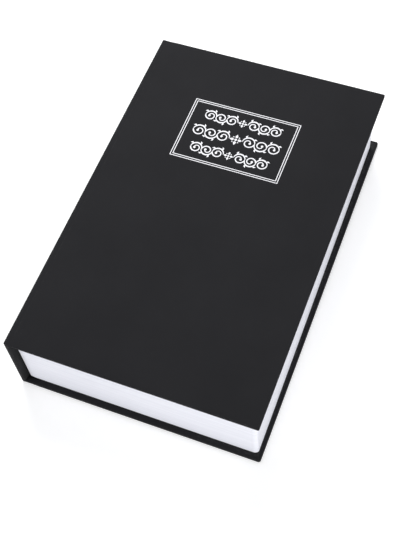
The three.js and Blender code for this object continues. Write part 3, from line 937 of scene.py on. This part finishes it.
lining = {
    "margin": 3.5,  # cloth left bare at the three edges
    "paper": 0.15,
    "overCloth": 0.08,  # how far its middle stands off the turned-in cloth
    "step": 0.22,  # how far it sinks past the turn-in's edge
    "stepSpread": (-0.8, -0.35, 0, 0.35, 0.8),
    # round the board's edge: x from it, height from the deck and then from the joint, share of the step
    "overEdge": ((0.5, 0, 1), (0.1, -0.12, 1), (-0.08, -0.4, 0.7)),
    "underEdge": ((-0.08, 0.5, 0), (-0.25, 0.15, 0), (-0.6, 0, 0)),
    "jointPlaces": (-67.4, -68.8, -70.2, -71.6, -72.8),
    "jointEnd": {"front": -73.6, "back": -73.9},
    "crossPlaces": (-72, -36, 0, 36, 72),
}


def liningSheet(name, side):
    start, spread, reach = cover["boardStart"], lining["stepSpread"], lining["stepSpread"][-1]
    deck = cover["thickness"] + lining["overCloth"]  # measured from the cover's outer face
    low = cover["cloth"] + lining["overCloth"]
    edge, window = book["fore"] - cover["turnIn"], book["halfLength"] - cover["turnIn"]
    halfPaper = book["halfLength"] - lining["margin"]
    # x, height and how far the step of the turned-in cloth shows
    path = [(book["fore"] - lining["margin"], deck, 1)]
    path += [(edge + across, deck, 1) for across in reversed(spread)]
    for level, bend in ((deck, lining["overEdge"]), (low, lining["underEdge"])):
        path += [(start + across, level + up, share) for across, up, share in bend]
    path += [(x, low, 0) for x in (*lining["jointPlaces"], lining["jointEnd"][side])]
    turnedIn = [halfPaper] + [window + across for across in spread]
    stations = sorted([*lining["crossPlaces"], *turnedIn, *[-y for y in turnedIn]])

    def sink(x, y):
        inset = min(edge - x, window - abs(y))
        share = min(1, max(0, (inset + reach) / (2 * reach)))
        return lining["step"] * share * share * (3 - 2 * share)

    rings = []
    for y in stations:
        middle = [(x, z - sink(x, y) * share + jointDip(x)) for x, z, share in path]
        left, right = bothSides(middle, [lining["paper"]] * len(middle))
        rings.append([(x, y, book["top"] - z if side == "front" else z) for x, z in right + left[::-1]])
    return loft(name, rings)


for side, body in (("front", "front_cover"), ("back", "book_case")):
    covered = [f"{side}_endpaper", f"{side}_joint_lining"]
    finishPiece(liningSheet(f"{side}Lining", side), body, "black_paper", *covered, sharp=60)
print("linings pasted")

# Foil: ruled frame and an ornament of running scrolls

title = {
    "centre": (-1.3, 56.2),
    "width": 70.7,
    "height": 46.9,
    "rule": 0.5,
    "ruleStep": 1.4,
    "stand": 0.02,  # above the cloth
    "sink": 0.1,
}

rows = [
    # height above the frame's middle, scroll radius, half width of the middle flower
    (13.2, 3.6, 3.3),
    (0, 4.0, 4.2),
    (-13.2, 3.6, 3.3),
]

scroll = {
    "count": 3,  # on each side of the flower
    "stroke": 0.95,
    "thin": 0.42,
    "curl": 371.52,  # degrees that a tendril turns inside its half circle
    "innerRadius": 1.05,
    "ball": 0.78,
    "leaf": (1.922, 1.08),
    "leafPlaces": (0.3, 0.72),
    "leafStand": 0.55,
    "fromFlower": 0.2,
}

bloom = {
    # shares of the flower's half width
    "eye": 0.2,
    "petalStart": 0.3,
    "petal": (0.68, 0.42),
    "dotReach": 0.62,
    "dot": 0.1,
}

foilTop = top + title["stand"]
foilUnder = foilTop - title["sink"]


def ribbon(line, widths):
    # a flat closed strip along a line of (x, y), as thick as the foil
    rings = []
    for left, right in zip(*bothSides(line, widths)):
        rings.append([(*left, foilUnder), (*right, foilUnder), (*right, foilTop), (*left, foilTop)])
    return loft("stroke", rings)


def disc(centre, radius):
    return prism("disc", circle(centre, radius, 18), foilUnder, foilTop)


def leaf(x, y, angle, length, width, bend):
    # a teardrop that leans to one side
    line, widths = [], []
    across, up = math.cos(angle), math.sin(angle)
    steps = 8
    for step in range(steps + 1):
        share = step / steps
        out, lean = length * share, bend * length * share * share
        line.append((x + across * out - up * lean, y + up * out + across * lean))
        widths.append(max(0.08, width * math.sin(math.pi * min(1, share * 1.02) ** 0.7)))
    return ribbon(line, widths)


def tendril(centre, y, radius, hand, flip):
    # a half circle that swells in the middle and then curls inside itself
    line, widths = [], []
    steps, whole = 46, math.pi + math.radians(scroll["curl"])
    for step in range(steps + 1):
        swept = whole * step / steps
        past = max(0, swept - math.pi) / (whole - math.pi)
        reach = radius + (scroll["innerRadius"] - radius) * past**0.8
        angle = math.pi - swept
        line.append((centre + hand * reach * math.cos(angle), y + flip * reach * math.sin(angle)))
        swell = math.sin(swept) if past == 0 else 0.55 * (1 - past) + 0.25
        widths.append(scroll["thin"] + (scroll["stroke"] - scroll["thin"]) * swell)
    return line, widths


def runningScroll(x, y, radius, hand):
    # tendrils over and under by turns, each with two leaves outside it
    strokes = []
    for turn in range(scroll["count"]):
        centre = x + hand * radius * (2 * turn + 1)
        flip = 1 if turn % 2 == 0 else -1
        line, widths = tendril(centre, y, radius, hand, flip)
        strokes += [ribbon(line, widths), disc(line[-1], scroll["ball"])]
        for share in scroll["leafPlaces"]:
            base = math.pi * (1 - share)
            reach = radius + scroll["leafStand"]
            start = (centre + hand * reach * math.cos(base), y + flip * reach * math.sin(base))
            direction = math.atan2(flip * math.sin(base - 0.75), hand * math.cos(base - 0.75))
            strokes.append(leaf(*start, direction, *scroll["leaf"], -0.3 * hand * flip))
    return strokes


def flower(x, y, size):
    strokes = [disc((x, y), size * bloom["eye"])]
    length, width = bloom["petal"]
    petals = circle((x, y), size * bloom["petalStart"], 4)
    dots = circle((x, y), size * bloom["dotReach"], 8)[1::2]
    for turn, (petal, dot) in enumerate(zip(petals, dots)):
        strokes.append(leaf(*petal, math.pi / 2 * turn, size * length, size * width, 0))
        strokes.append(disc(dot, size * bloom["dot"]))
    return strokes


def uniteStrokes(name, strokes):
    # the union also needs a second solid, which is deleted again
    whole = joinPieces(name, *strokes)
    helper = softBox("helper", (200, 200, 200), (201, 201, 201))
    union = whole.modifiers.new("unite", "BOOLEAN")
    union.operation = "UNION"
    union.solver = "EXACT"
    union.use_self = True
    union.object = helper
    settleModifiers(whole)
    bpy.data.objects.remove(helper)
    with editing(whole.data) as solid:
        stray = [vertex for vertex in solid.verts if vertex.co.x > 150 * mm]
        bmesh.ops.delete(solid, geom=stray, context="VERTS")
    return whole


def ruleFrame(name, inset):
    x, y = title["centre"]
    rings = []
    for grow in (0, title["rule"]):
        across, up = title["width"] / 2 - inset - grow, title["height"] / 2 - inset - grow
        corners = [(x - across, y - up), (x + across, y - up), (x + across, y + up), (x - across, y + up)]
        rings += [[(a, b, z) for a, b in corners] for z in (top - title["sink"], foilTop)]
    return loft(name, [rings[0], rings[1], rings[3], rings[2]], closeEnds=False)


def titleOrnament(name):
    x, y = title["centre"]
    strokes = []
    for rise, radius, size in rows:
        strokes += flower(x, y + rise, size)
        for hand in (-1, 1):
            strokes += runningScroll(x + hand * (size + scroll["fromFlower"]), y + rise, radius, hand)
    return uniteStrokes(name, strokes)


for name, inset, node in (
    ("foilRuleOuter", 0, "title_rule_outer"),
    ("foilRuleInner", title["ruleStep"], "title_rule_inner"),
):
    finishPiece(ruleFrame(name, inset), "front_cover", "foil", node, weighted=False)
finishPiece(titleOrnament("foilScrolls"), "front_cover", "foil", "title_ornament", weighted=False)

spineFoil = {
    "width": 0.8,
    "span": (4, 48),
    "flowerSize": 9,
    "flowerPlace": (26, 74),  # z and y
}


def spineRule(number):
    low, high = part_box(f"spine_rule_{number}")
    middle, half = (low.y + high.y) / 2 / mm, spineFoil["width"] / 2
    outer, inner = book["spine"] - title["stand"], book["spine"] + title["sink"]
    z0, z1 = spineFoil["span"]
    return softBox(f"spineFoilRule{number}", (outer, middle - half, z0), (inner, middle + half, z1))


def spineFlower(name):
    # drawn on the front cover's plane and turned on to the spine's face
    piece = uniteStrokes(name, flower(*spineFoil["flowerPlace"], spineFoil["flowerSize"]))
    moveBy(piece, lambda point: Vector((book["spine"] - (point.z - top), point.y, point.x)) - point)
    return piece


for number in range(1, 5):
    finishPiece(spineRule(number), "book_case", "foil", f"spine_rule_{number}", weighted=False)
finishPiece(spineFlower("spineFoilFlower"), "book_case", "foil", weighted=False)
print("foil stamped")

# False pages: one moulding with a ridge for every few leaves

pages = {
    "x": (-73.2, 73.0),
    "halfLength": 116,
    "bottom": 2.58,
    "top": 49.2,
    "wall": 2.5,
    "spineCorner": 1.5,
    "foreCorner": 2.2,
    "leadIn": 5,  # the ends draw in over this length towards the spine
    "leadDepth": 0.5,
    "leadLoops": (0.36, 0.52, 0.68, 0.84, 1),  # shares of that length
    "askew": 0.8,  # the fore edge stands out this far at the tail and in this far at the head
    "grooveDepth": 0.13,
    "grooveShares": ((0.0, 1.0), (0.29, 0.12), (0.71, 0.12)),  # place in a line, and depth
    "ledge": 12,
    "ledgeTop": 4.5,
    "ledgeOverlap": 0.4,
    "ledgeCorner": 0.8,
    "openingCorner": 6,
    "rimRound": 0.35,
    "seed": 11,
}


def pageWall(name):
    bottom, high, wall, rim = pages["bottom"], pages["top"], pages["wall"], pages["rimRound"]
    lines = round((high - rim - bottom) / pageLook["linePitch"])
    pitch = (high - rim - bottom) / lines
    profile, grooves = [], []
    for line in range(lines):
        for share, groove in pages["grooveShares"]:
            profile.append((0, bottom + (line + share) * pitch))
            grooves.append(groove if line else 0)
    profile += arc((-rim, high - rim), rim, 0, 90, 4) + arc((rim - wall, high - rim), rim, 90, 180, 4)
    profile.append((-wall, bottom))
    half, radii = pages["halfLength"], (pages["spineCorner"], pages["foreCorner"])
    values = {"Corner_Steps": 8, "Groove_Depth": pages["grooveDepth"] * mm, "Seed": pages["seed"]}
    return sweep(name, profile, pages["x"], (-half, half), radii, "pages", grooves, **values)


def pageBlock(name):
    half, wall, bottom, high = pages["halfLength"], pages["wall"], pages["bottom"], pages["ledgeTop"]
    (x0, x1), reach = pages["x"], pages["leadIn"]
    shell = pageWall(name + "Wall")
    scoreAcross(shell, x=[x0 + reach * share for share in pages["leadLoops"]])

    def drawIn(point):
        near = max(0, 1 - (point.x - x0) / reach)
        outer = max(0, 1 - (x1 - point.x) / wall)
        depth = pages["leadDepth"] * near**1.5
        return -pages["askew"] * outer * point.y / half, -math.copysign(depth, point.y), 0

    moveBy(shell, drawIn)
    out, inner = wall - pages["ledgeOverlap"], wall + pages["ledge"]
    corner = (pages["ledgeCorner"], 4, upright)
    ledge = softBox(name + "Ledge", (x0 + out, out - half, bottom), (x1 - out, half - out, high), corner)
    corner = (pages["openingCorner"], 5, upright)
    spans = [(x0 + inner, inner - half, bottom - 1), (x1 - inner, half - inner, high + 1)]
    cutAway(ledge, softBox("opening", *spans, corner))
    return joinPieces(name, shell, ledge)


finishPiece(pageBlock("pageBlock"), "book_case", "pages", "page_surround", sharp=24)
print("pages moulded")

# Steel box: folded tray, rivets, strike

tray = {
    "x": (-66.3, 68.5),
    "halfLength": 111.5,
    "bottom": 4.5,
    "top": 46.3,
    "sheet": 1,
    "corner": 2,
    "bend": 1.8,
    "rimRound": 0.22,
    "rimLoop": 1.6,
    "edgeLoop": 3.4,
}


def steelTray(name):
    sheet, half, loop = tray["sheet"], tray["halfLength"], tray["edgeLoop"]
    (x0, x1), z0, z1 = tray["x"], tray["bottom"], tray["top"]

    def isFloorEdge(middle, along):
        return not upright(middle, along) and middle.z < z0 + sheet + 0.1

    def pressed(name, inset, high):
        ends = [(x0 + inset, inset - half, z0 + inset), (x1 - inset, half - inset, high)]
        rounds = [(tray["corner"] - inset, 6, upright), (tray["bend"] - inset, 5, isFloorEdge)]
        return softBox(name, *ends, *rounds)

    skin = pressed(name, 0, z1)
    cutAway(skin, pressed("hollow", sheet, z1 + 5))
    with editing(skin.data) as solid:
        roundOff(solid, tray["rimRound"], 2, lambda middle, along: middle.z > z1 - 0.05)
    scoreAcross(skin, z=[z1 - tray["rimLoop"], z0 + loop])
    scoreAcross(skin, x=[x0 + loop, x1 - loop], y=[loop - half, half - loop])
    return skin


finishPiece(steelTray("steelTray"), "book_case", "painted_steel", "box_tray")

rivets = {
    "place": (-62.0, -106.0),
    "spread": (125.0, 212.0),
    "seat": 5.5,
    "shank": (1.6, 3),  # radius and length
    "radius": 3,
    "height": 1,
    "rim": 0.12,
    "dimple": 0.9,
}


def trayRivets(name):
    # blind rivets: a domed flange with the broken stem's dimple in the middle
    radius, seat, rim, dimple = rivets["radius"], rivets["seat"], rivets["rim"], rivets["dimple"]
    shank, deep = rivets["shank"]
    crown, lip = seat + rivets["height"], dimple + 0.35
    profile = [(onAxis, seat - deep), (shank, seat - deep), (shank, seat)]
    profile += [(radius - 0.15, seat), (radius, seat + rim)]
    for across, up in arc((0, 0), 1, 15, 90, 5):
        profile.append((lip + (radius - lip) * across, seat + rim + (crown - seat - rim) * up))
    # down the dimple's edge and wall to its floor
    profile += [(dimple + 0.1, crown - 0.05), (dimple, crown - 0.2)]
    profile += [(dimple - 0.1, seat + 0.35), (onAxis, seat + 0.3)]
    piece = lathe(name, profile, 24)
    repeat(piece, 2, (rivets["spread"][0], 0, 0), (*rivets["place"], 0), "plated_steel")
    repeat(piece, 2, (0, rivets["spread"][1], 0), (0, 0, 0), "plated_steel")
    return piece


rivetNodes = [f"tray_rivet_{number}" for number in range(1, 5)]
finishPiece(trayRivets("trayRivets"), "book_case", "plated_steel", *rivetNodes, sharp=40)
finishPiece(copyNode("latch_strike", "strikeAngle", 0.25, 3), "book_case", "plated_steel", "latch_strike")
print("steel box folded")

# Hinge: rolled knuckles that take turns along one pin, on two leaves

hinge = {
    "x": -68.2,
    "z": 46.5,
    "knuckle": 1.9,
    "bore": 1.08,
    "chamfer": 0.15,
    "slit": {"tray": 60, "lid": 200},  # degrees, where the sheet comes round
    "slitHalf": 6,
    "length": 200,
    "count": 9,
    "gap": 0.3,
    "trayLeaf": (-67.1, -66.3, 34.5),  # x span and lowest z
    "lidLeaf": (-58.2, 47.6, 48.4),  # outer x and z span
    "leafRound": 0.12,
    "weldPitch": 24,
    "weldCount": 8,
    "weldInset": 3.6,
    "weldRadius": 1.7,
    "weldShape": ((1, 0.0), (0.8, 0.14), (0.55, 0.16), (0.3, 0.1)),  # shares of the radius, and heights
}
knucklePitch = (hinge["length"] + hinge["gap"]) / hinge["count"]


def knuckleRow(side, first):
    # one rolled knuckle, open by a slit where its sheet comes round, repeated by the tree
    centre, length, chamfer = (hinge["x"], hinge["z"]), knucklePitch - hinge["gap"], hinge["chamfer"]
    start = hinge["slit"][side] + hinge["slitHalf"]
    end = start + 360 - 2 * hinge["slitHalf"]
    rings = []
    for y, shrink in ((0, chamfer), (chamfer, 0), (length - chamfer, 0), (length, chamfer)):
        outside = arc(centre, hinge["knuckle"] - shrink, start, end, 26)
        inside = arc(centre, hinge["bore"], start, end, 26)
        rings.append([(x, y, z) for x, z in outside + inside[::-1]])
    piece = loft(side + "Knuckles", rings)
    count = (hinge["count"] - first + 1) // 2
    offset = first * knucklePitch - hinge["length"] / 2
    repeat(piece, count, (0, 2 * knucklePitch, 0), (0, offset, 0), "plated_steel")
    return piece


def leafPlate(name, low, high, others, roomLow, roomHigh):
    # spans in (x, z); the room for the other leaf's knuckles is cut out of the plate
    half = hinge["length"] / 2
    plate = softBox(name, (low[0], -half, low[1]), (high[0], half, high[1]))
    notches = []
    for index in range(others, hinge["count"], 2):
        start = index * knucklePitch - half
        near = (roomLow[0], start - hinge["gap"], roomLow[1])
        far = (roomHigh[0], start + knucklePitch, roomHigh[1])
        notches.append(softBox("notch", near, far))
    cutAway(plate, *notches)
    with editing(plate.data) as solid:
        roundOff(solid, hinge["leafRound"], 2)
    return plate


def weldRow(name, x, z):
    # pressed spot welds: shallow rings with a raised middle
    radius, count, pitch = hinge["weldRadius"], hinge["weldCount"], hinge["weldPitch"]
    profile = [(onAxis, -0.3), (radius, -0.3)]
    profile += [(radius * share, height) for share, height in hinge["weldShape"]]
    piece = lathe(name, profile + [(onAxis, 0.08)], 20)
    moveBy(piece, lambda point: (x, 0, z))
    repeat(piece, count, (0, pitch, 0), (0, -pitch * (count - 1) / 2, 0), "plated_steel")
    return piece


def trayLeaf(name):
    (x0, x1, lowest), z, room = hinge["trayLeaf"], hinge["z"], hinge["knuckle"] + hinge["gap"]
    plate = leafPlate("trayPlate", (x0, lowest), (x1, z), 1, (x0 - 1, z - room), (x1 + 1, z + 1))
    return joinPieces(name, plate, knuckleRow("tray", 0))


def lidLeaf(name):
    (outer, z0, z1), x, room = hinge["lidLeaf"], hinge["x"], hinge["knuckle"] + hinge["gap"]
    plate = leafPlate("lidPlate", (x, z0), (outer, z1), 0, (x - 1, z0 - 1), (x + room, z1 + 1))
    return joinPieces(name, plate, knuckleRow("lid", 1), weldRow("welds", outer - hinge["weldInset"], z1))


finishPiece(trayLeaf("hingeTrayLeaf"), "book_case", "plated_steel", "hinge_leaf_tray")
finishPiece(lidLeaf("hingeLidLeaf"), "inner_lid", "plated_steel", "hinge_leaf_lid")
finishPiece(copyNode("hinge_pin", "hingePin", 0.2), "book_case", "plated_steel", "hinge_pin")
print("hinge pinned")

# Lid of the steel box

lid = {
    "x": (-66.0, 70.0),
    "halfLength": 113,
    "top": 47.6,
    "under": 46.6,
    "flangeEnd": 38.6,
    "sheet": 1,
    "corner": 2,
    "bend": 1.4,
    "rimRound": 0.2,
    "rimLoop": 1.4,
    "xLoops": (1.6, 3),
    "yLoop": 3,
    "hole": 8.3,
    "beadX": (-50, 34),
    "beadHalf": 99,
    "beadCorner": 9,
    "beadWidth": 5,
    "beadHeight": 0.55,
    "beadSink": 0.3,
}


def lidBead(name):
    # a pressed bead that stiffens the sheet
    half, high, (left, right) = lid["beadWidth"] / 2, lid["top"], lid["beadX"]
    profile = [(-half, high - lid["beadSink"])]
    steps = 12
    for step in range(steps + 1):
        rise = lid["beadHeight"] * math.sin(math.pi * step / steps) ** 2
        profile.append((half * (2 * step / steps - 1), high + rise + 0.004))
    profile.append((half, high - lid["beadSink"]))
    ends, corners = (-lid["beadHalf"], lid["beadHalf"]), (lid["beadCorner"], lid["beadCorner"])
    return sweep(name, profile, (left, right), ends, corners, "painted_steel", Corner_Steps=12)


def steelLid(name):
    sheet, half, under = lid["sheet"], lid["halfLength"], lid["under"]
    (x0, x1), high, low = lid["x"], lid["top"], lid["flangeEnd"]

    def isCorner(middle, along):
        return upright(middle, along) and middle.x > x1 - 3

    def isTop(middle, along):
        return not upright(middle, along) and middle.z > under - 0.05

    def isBend(middle, along):
        return isTop(middle, along) and middle.x > x0 + 0.1

    def isRim(middle, along):
        return middle.z < low + 0.05 or middle.x < x0 + 0.05

    rounds = [(lid["corner"], 6, isCorner), (lid["bend"], 5, isBend)]
    skin = softBox(name, (x0, -half, low), (x1, half, high), *rounds)
    rounds = [(lid["corner"] - sheet, 6, isCorner), (lid["bend"] - sheet, 4, isTop)]
    hollow = softBox("hollow", (x0 - 5, sheet - half, low - 5), (x1 - sheet, half - sheet, under), *rounds)
    hole = prism("hole", circle((lock["x"], 0), lid["hole"], 48), under - 5, high + 5)
    cutAway(skin, hollow, hole)
    with editing(skin.data) as solid:
        roundOff(solid, lid["rimRound"], 2, isRim)
    (left, right), end = lid["xLoops"], half - lid["yLoop"]
    scoreAcross(skin, x=[x0 + left, x1 - right], y=[-end, end], z=[low + lid["rimLoop"]])
    return joinPieces(name, skin, lidBead("bead"))


# Lock: threaded barrel with a bezel, washer, nut, plug, cam and screw

lock = {
    "x": 50.0,
    "lidTop": 47.6,
    "bezelTop": 48.8,
    "bezelRadius": 10,
    "bezelRound": 0.6,
    "barrelRadius": 8,
    "barrelEnd": 35.6,
    "bore": 5.5,
    "flat": 7,
    "threadPitch": 1,
    "threadDepth": 0.5,
    "threadEnds": (0.3, 0.9),  # from the barrel's end, and below the bezel
    "threadFade": 0.6,
    "threadStep": 0.2,
    "neck": 0.35,
    "face": (
        # radius and z of the bezel's face: a groove, a ridge and the recess round the plug
        (8.0, 48.72),
        (7.8, 48.6),
        (7.2, 48.6),
        (7.0, 48.72),
        (6.7, 48.72),
        (6.5, 48.55),
        (6.5, 47.6),
    ),
    "sides": 60,
    "nutHalf": 10,  # half across its flats
    "nutRadii": (8.25, 8.75, 10.05, 11.7),  # the bore, its mouth, the face's edge and the corners
    "nutChamfer": (0.35, 0.62),  # heights at the bore and at the corners
}


def lockBody(name):
    # the thread runs from the end up to the lid, with two flats
    low, seat, (lead, runOut) = lock["barrelEnd"], lock["lidTop"], lock["threadEnds"]
    high = seat - runOut
    centre, sides, fade, flat = (lock["x"], 0), lock["sides"], lock["threadFade"], lock["flat"]

    def plain(radius, z):
        return [(x, y, z) for x, y in circle(centre, radius, sides)]

    def flatted(radius, z, depth=0):
        strength = max(0, min(1, (z - low) / fade, (high - z) / fade))
        ring = []
        for side, (across, up) in enumerate(circle((0, 0), 1, sides)):
            phase = ((z - low) / lock["threadPitch"] - side / sides) % 1
            reach = radius - depth * strength * (1 - abs(2 * phase - 1))
            ring.append((lock["x"] + reach * across, max(-flat, min(flat, reach * up)), z))
        return ring

    radius, bezel, curve = lock["barrelRadius"], lock["bezelRadius"], lock["bezelRound"]
    start, thread = low + lead, lock["threadDepth"]
    levels = int((high - low) / lock["threadStep"])
    rings = [plain(lock["bore"], low), flatted(radius - thread, low)]
    rings += [flatted(radius, start + (high - start) * level / levels, thread) for level in range(levels + 1)]
    rings += [flatted(radius - lock["neck"], high + 0.1), flatted(radius - lock["neck"], seat)]
    edge = [(bezel - 0.1, seat), (bezel, seat + 0.1)]
    edge += arc((bezel - curve, lock["bezelTop"] - curve), curve, 0, 90, 5)
    rings += [plain(reach, z) for reach, z in (*edge, *lock["face"], (lock["bore"], seat))]
    return loft(name, rings, closeEnds=False)


def hexNut(name):
    z0, z1 = [corner.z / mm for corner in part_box("lock_nut")]
    (bore, mouth, face, corner), (inside, outside) = lock["nutRadii"], lock["nutChamfer"]
    sides = 72

    def ring(limit, z):
        points = []
        for across, up in circle((0, 0), 1, sides):
            toFlat = (math.atan2(up, across) + math.pi / 6) % (math.pi / 3) - math.pi / 6  # corners lie on x
            reach = min(lock["nutHalf"] / math.cos(math.pi / 6 - abs(toFlat)), limit)
            points.append((lock["x"] + reach * across, reach * up, z))
        return points

    lower = [(bore, z0 + inside), (mouth, z0), (face, z0), (corner, z0 + outside)]
    upper = [(corner, z1 - outside), (face, z1), (mouth, z1), (bore, z1 - inside)]
    return loft(name, [ring(limit, z) for limit, z in lower + upper], closeEnds=False)


finishPiece(steelLid("steelLid"), "inner_lid", "painted_steel", "box_lid")
finishPiece(lockBody("lockBody"), "inner_lid", "lock_chrome", "lock_barrel", sharp=50)
finishPiece(copyNode("lock_washer", "lockWasher", 0.12), "inner_lid", "plated_steel", "lock_washer")
finishPiece(hexNut("lockNut"), "inner_lid", "plated_steel", "lock_nut", sharp=20)
finishPiece(copyNode("lock_plug", "lockPlug", 0.12), "lock_cylinder", "lock_brass", "lock_plug")
finishPiece(copyNode("lock_cam", "lockCam", 0.2), "lock_cylinder", "plated_steel", "lock_cam")
finishPiece(copyNode("cam_screw", "camScrew", 0.15), "lock_cylinder", "plated_steel", "cam_screw")
print("lid and lock fitted")

# Keys, laid on the box's floor

keys = {
    "bow": 10,
    "squash": 0.05,
    "thickness": 2,
    "floor": 5.5,
    "blade": 24,
    "bladeWidth": 6.4,
    "neck": 0.2,  # the blade's edge starts this far inside the bow
    "shoulder": 2.2,
    "edgeRound": 0.1,
    "cuts": (2.6, 1.2, 2.2, 0.9, 1.7),  # depth of each cut, from the bow
    "cutPitch": 3.9,
    "cutPlaces": (1.2, 2.0, 3.2),  # where a cut's slope ends, its far slope starts and it ends
    "tip": (0.6, 2.2),  # half width and length
    "hole": 1.9,
    "holePlace": -4.2,
    "groove": (-1.9, -0.6, 8.6, 0.45),  # x span, start and depth
    "panel": (4.2, 7.6, 0.6, 0.28),  # inner and outer radius, place and depth
}


def keyOutline():
    # drawn with the bow at the middle and the blade to the head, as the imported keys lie
    bow, half, (tipHalf, tipLength) = keys["bow"], keys["bladeWidth"] / 2, keys["tip"]
    start = math.degrees(math.asin(half / bow))
    outline = []
    for x, y in arc((0, 0), bow, 90 + start, 450 - start, 48):
        squash = 1 - keys["squash"] * math.cos(4 * math.atan2(y, x))
        outline.append((x * squash, y * min(1, squash)))
    outline.append((half, bow - keys["neck"]))
    y, (down, along, end) = bow + keys["shoulder"], keys["cutPlaces"]
    for depth in keys["cuts"]:
        outline += [(half, y), (half - depth, y + down), (half - depth, y + along), (half, y + end)]
        y += keys["cutPitch"]
    tip = bow + keys["blade"]
    return outline + [(half, tip - tipLength), (tipHalf, tip), (-tipHalf, tip), (-half, tip - tipLength)]


def keyBlank(number):
    low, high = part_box(f"key_{number}")
    x, y = (low.x + high.x) / 2 / mm, low.y / mm + keys["bow"]
    z0, z1 = keys["floor"], keys["floor"] + keys["thickness"]
    blank = prism(f"key{number}", [(x + a, y + b) for a, b in keyOutline()], z0, z1)
    left, right, start, grooveDepth = keys["groove"]
    inner, outer, place, panelDepth = keys["panel"]
    end = y + keys["bow"] + keys["blade"] + 1
    cutters = [prism("hole", circle((x, y + keys["holePlace"]), keys["hole"], 24), z0 - 1, z1 + 1)]
    for face, level in ((-1, z0), (1, z1)):
        deep, far = level - face * grooveDepth, level + face
        cutters.append(softBox("groove", (x + left, y + start, deep), (x + right, end, far)))
        deep = level - face * panelDepth
        band = [(inner, deep), (outer, deep), (outer, far), (inner, far)]
        cutters.append(lathe("panel", band, 40, (x, y + place), closed=True))
    cutAway(blank, *cutters)
    with editing(blank.data) as solid:
        bmesh.ops.remove_doubles(solid, verts=solid.verts, dist=0.001 * mm)
        roundOff(solid, keys["edgeRound"], 1, lambda middle, along: not upright(middle, along))
    return blank


for number in (1, 2):
    finishPiece(keyBlank(number), "book_case", "key_steel", f"key_{number}", sharp=28)
print("keys cut")

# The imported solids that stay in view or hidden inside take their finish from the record

for entry in frame["record"]["subparts"]:
    node = frame["nodes"][entry["node"]]
    for holder in node.material_slots:
        holder.material = finishes[entry["material_slot"]]

bpy.context.view_layer.update()
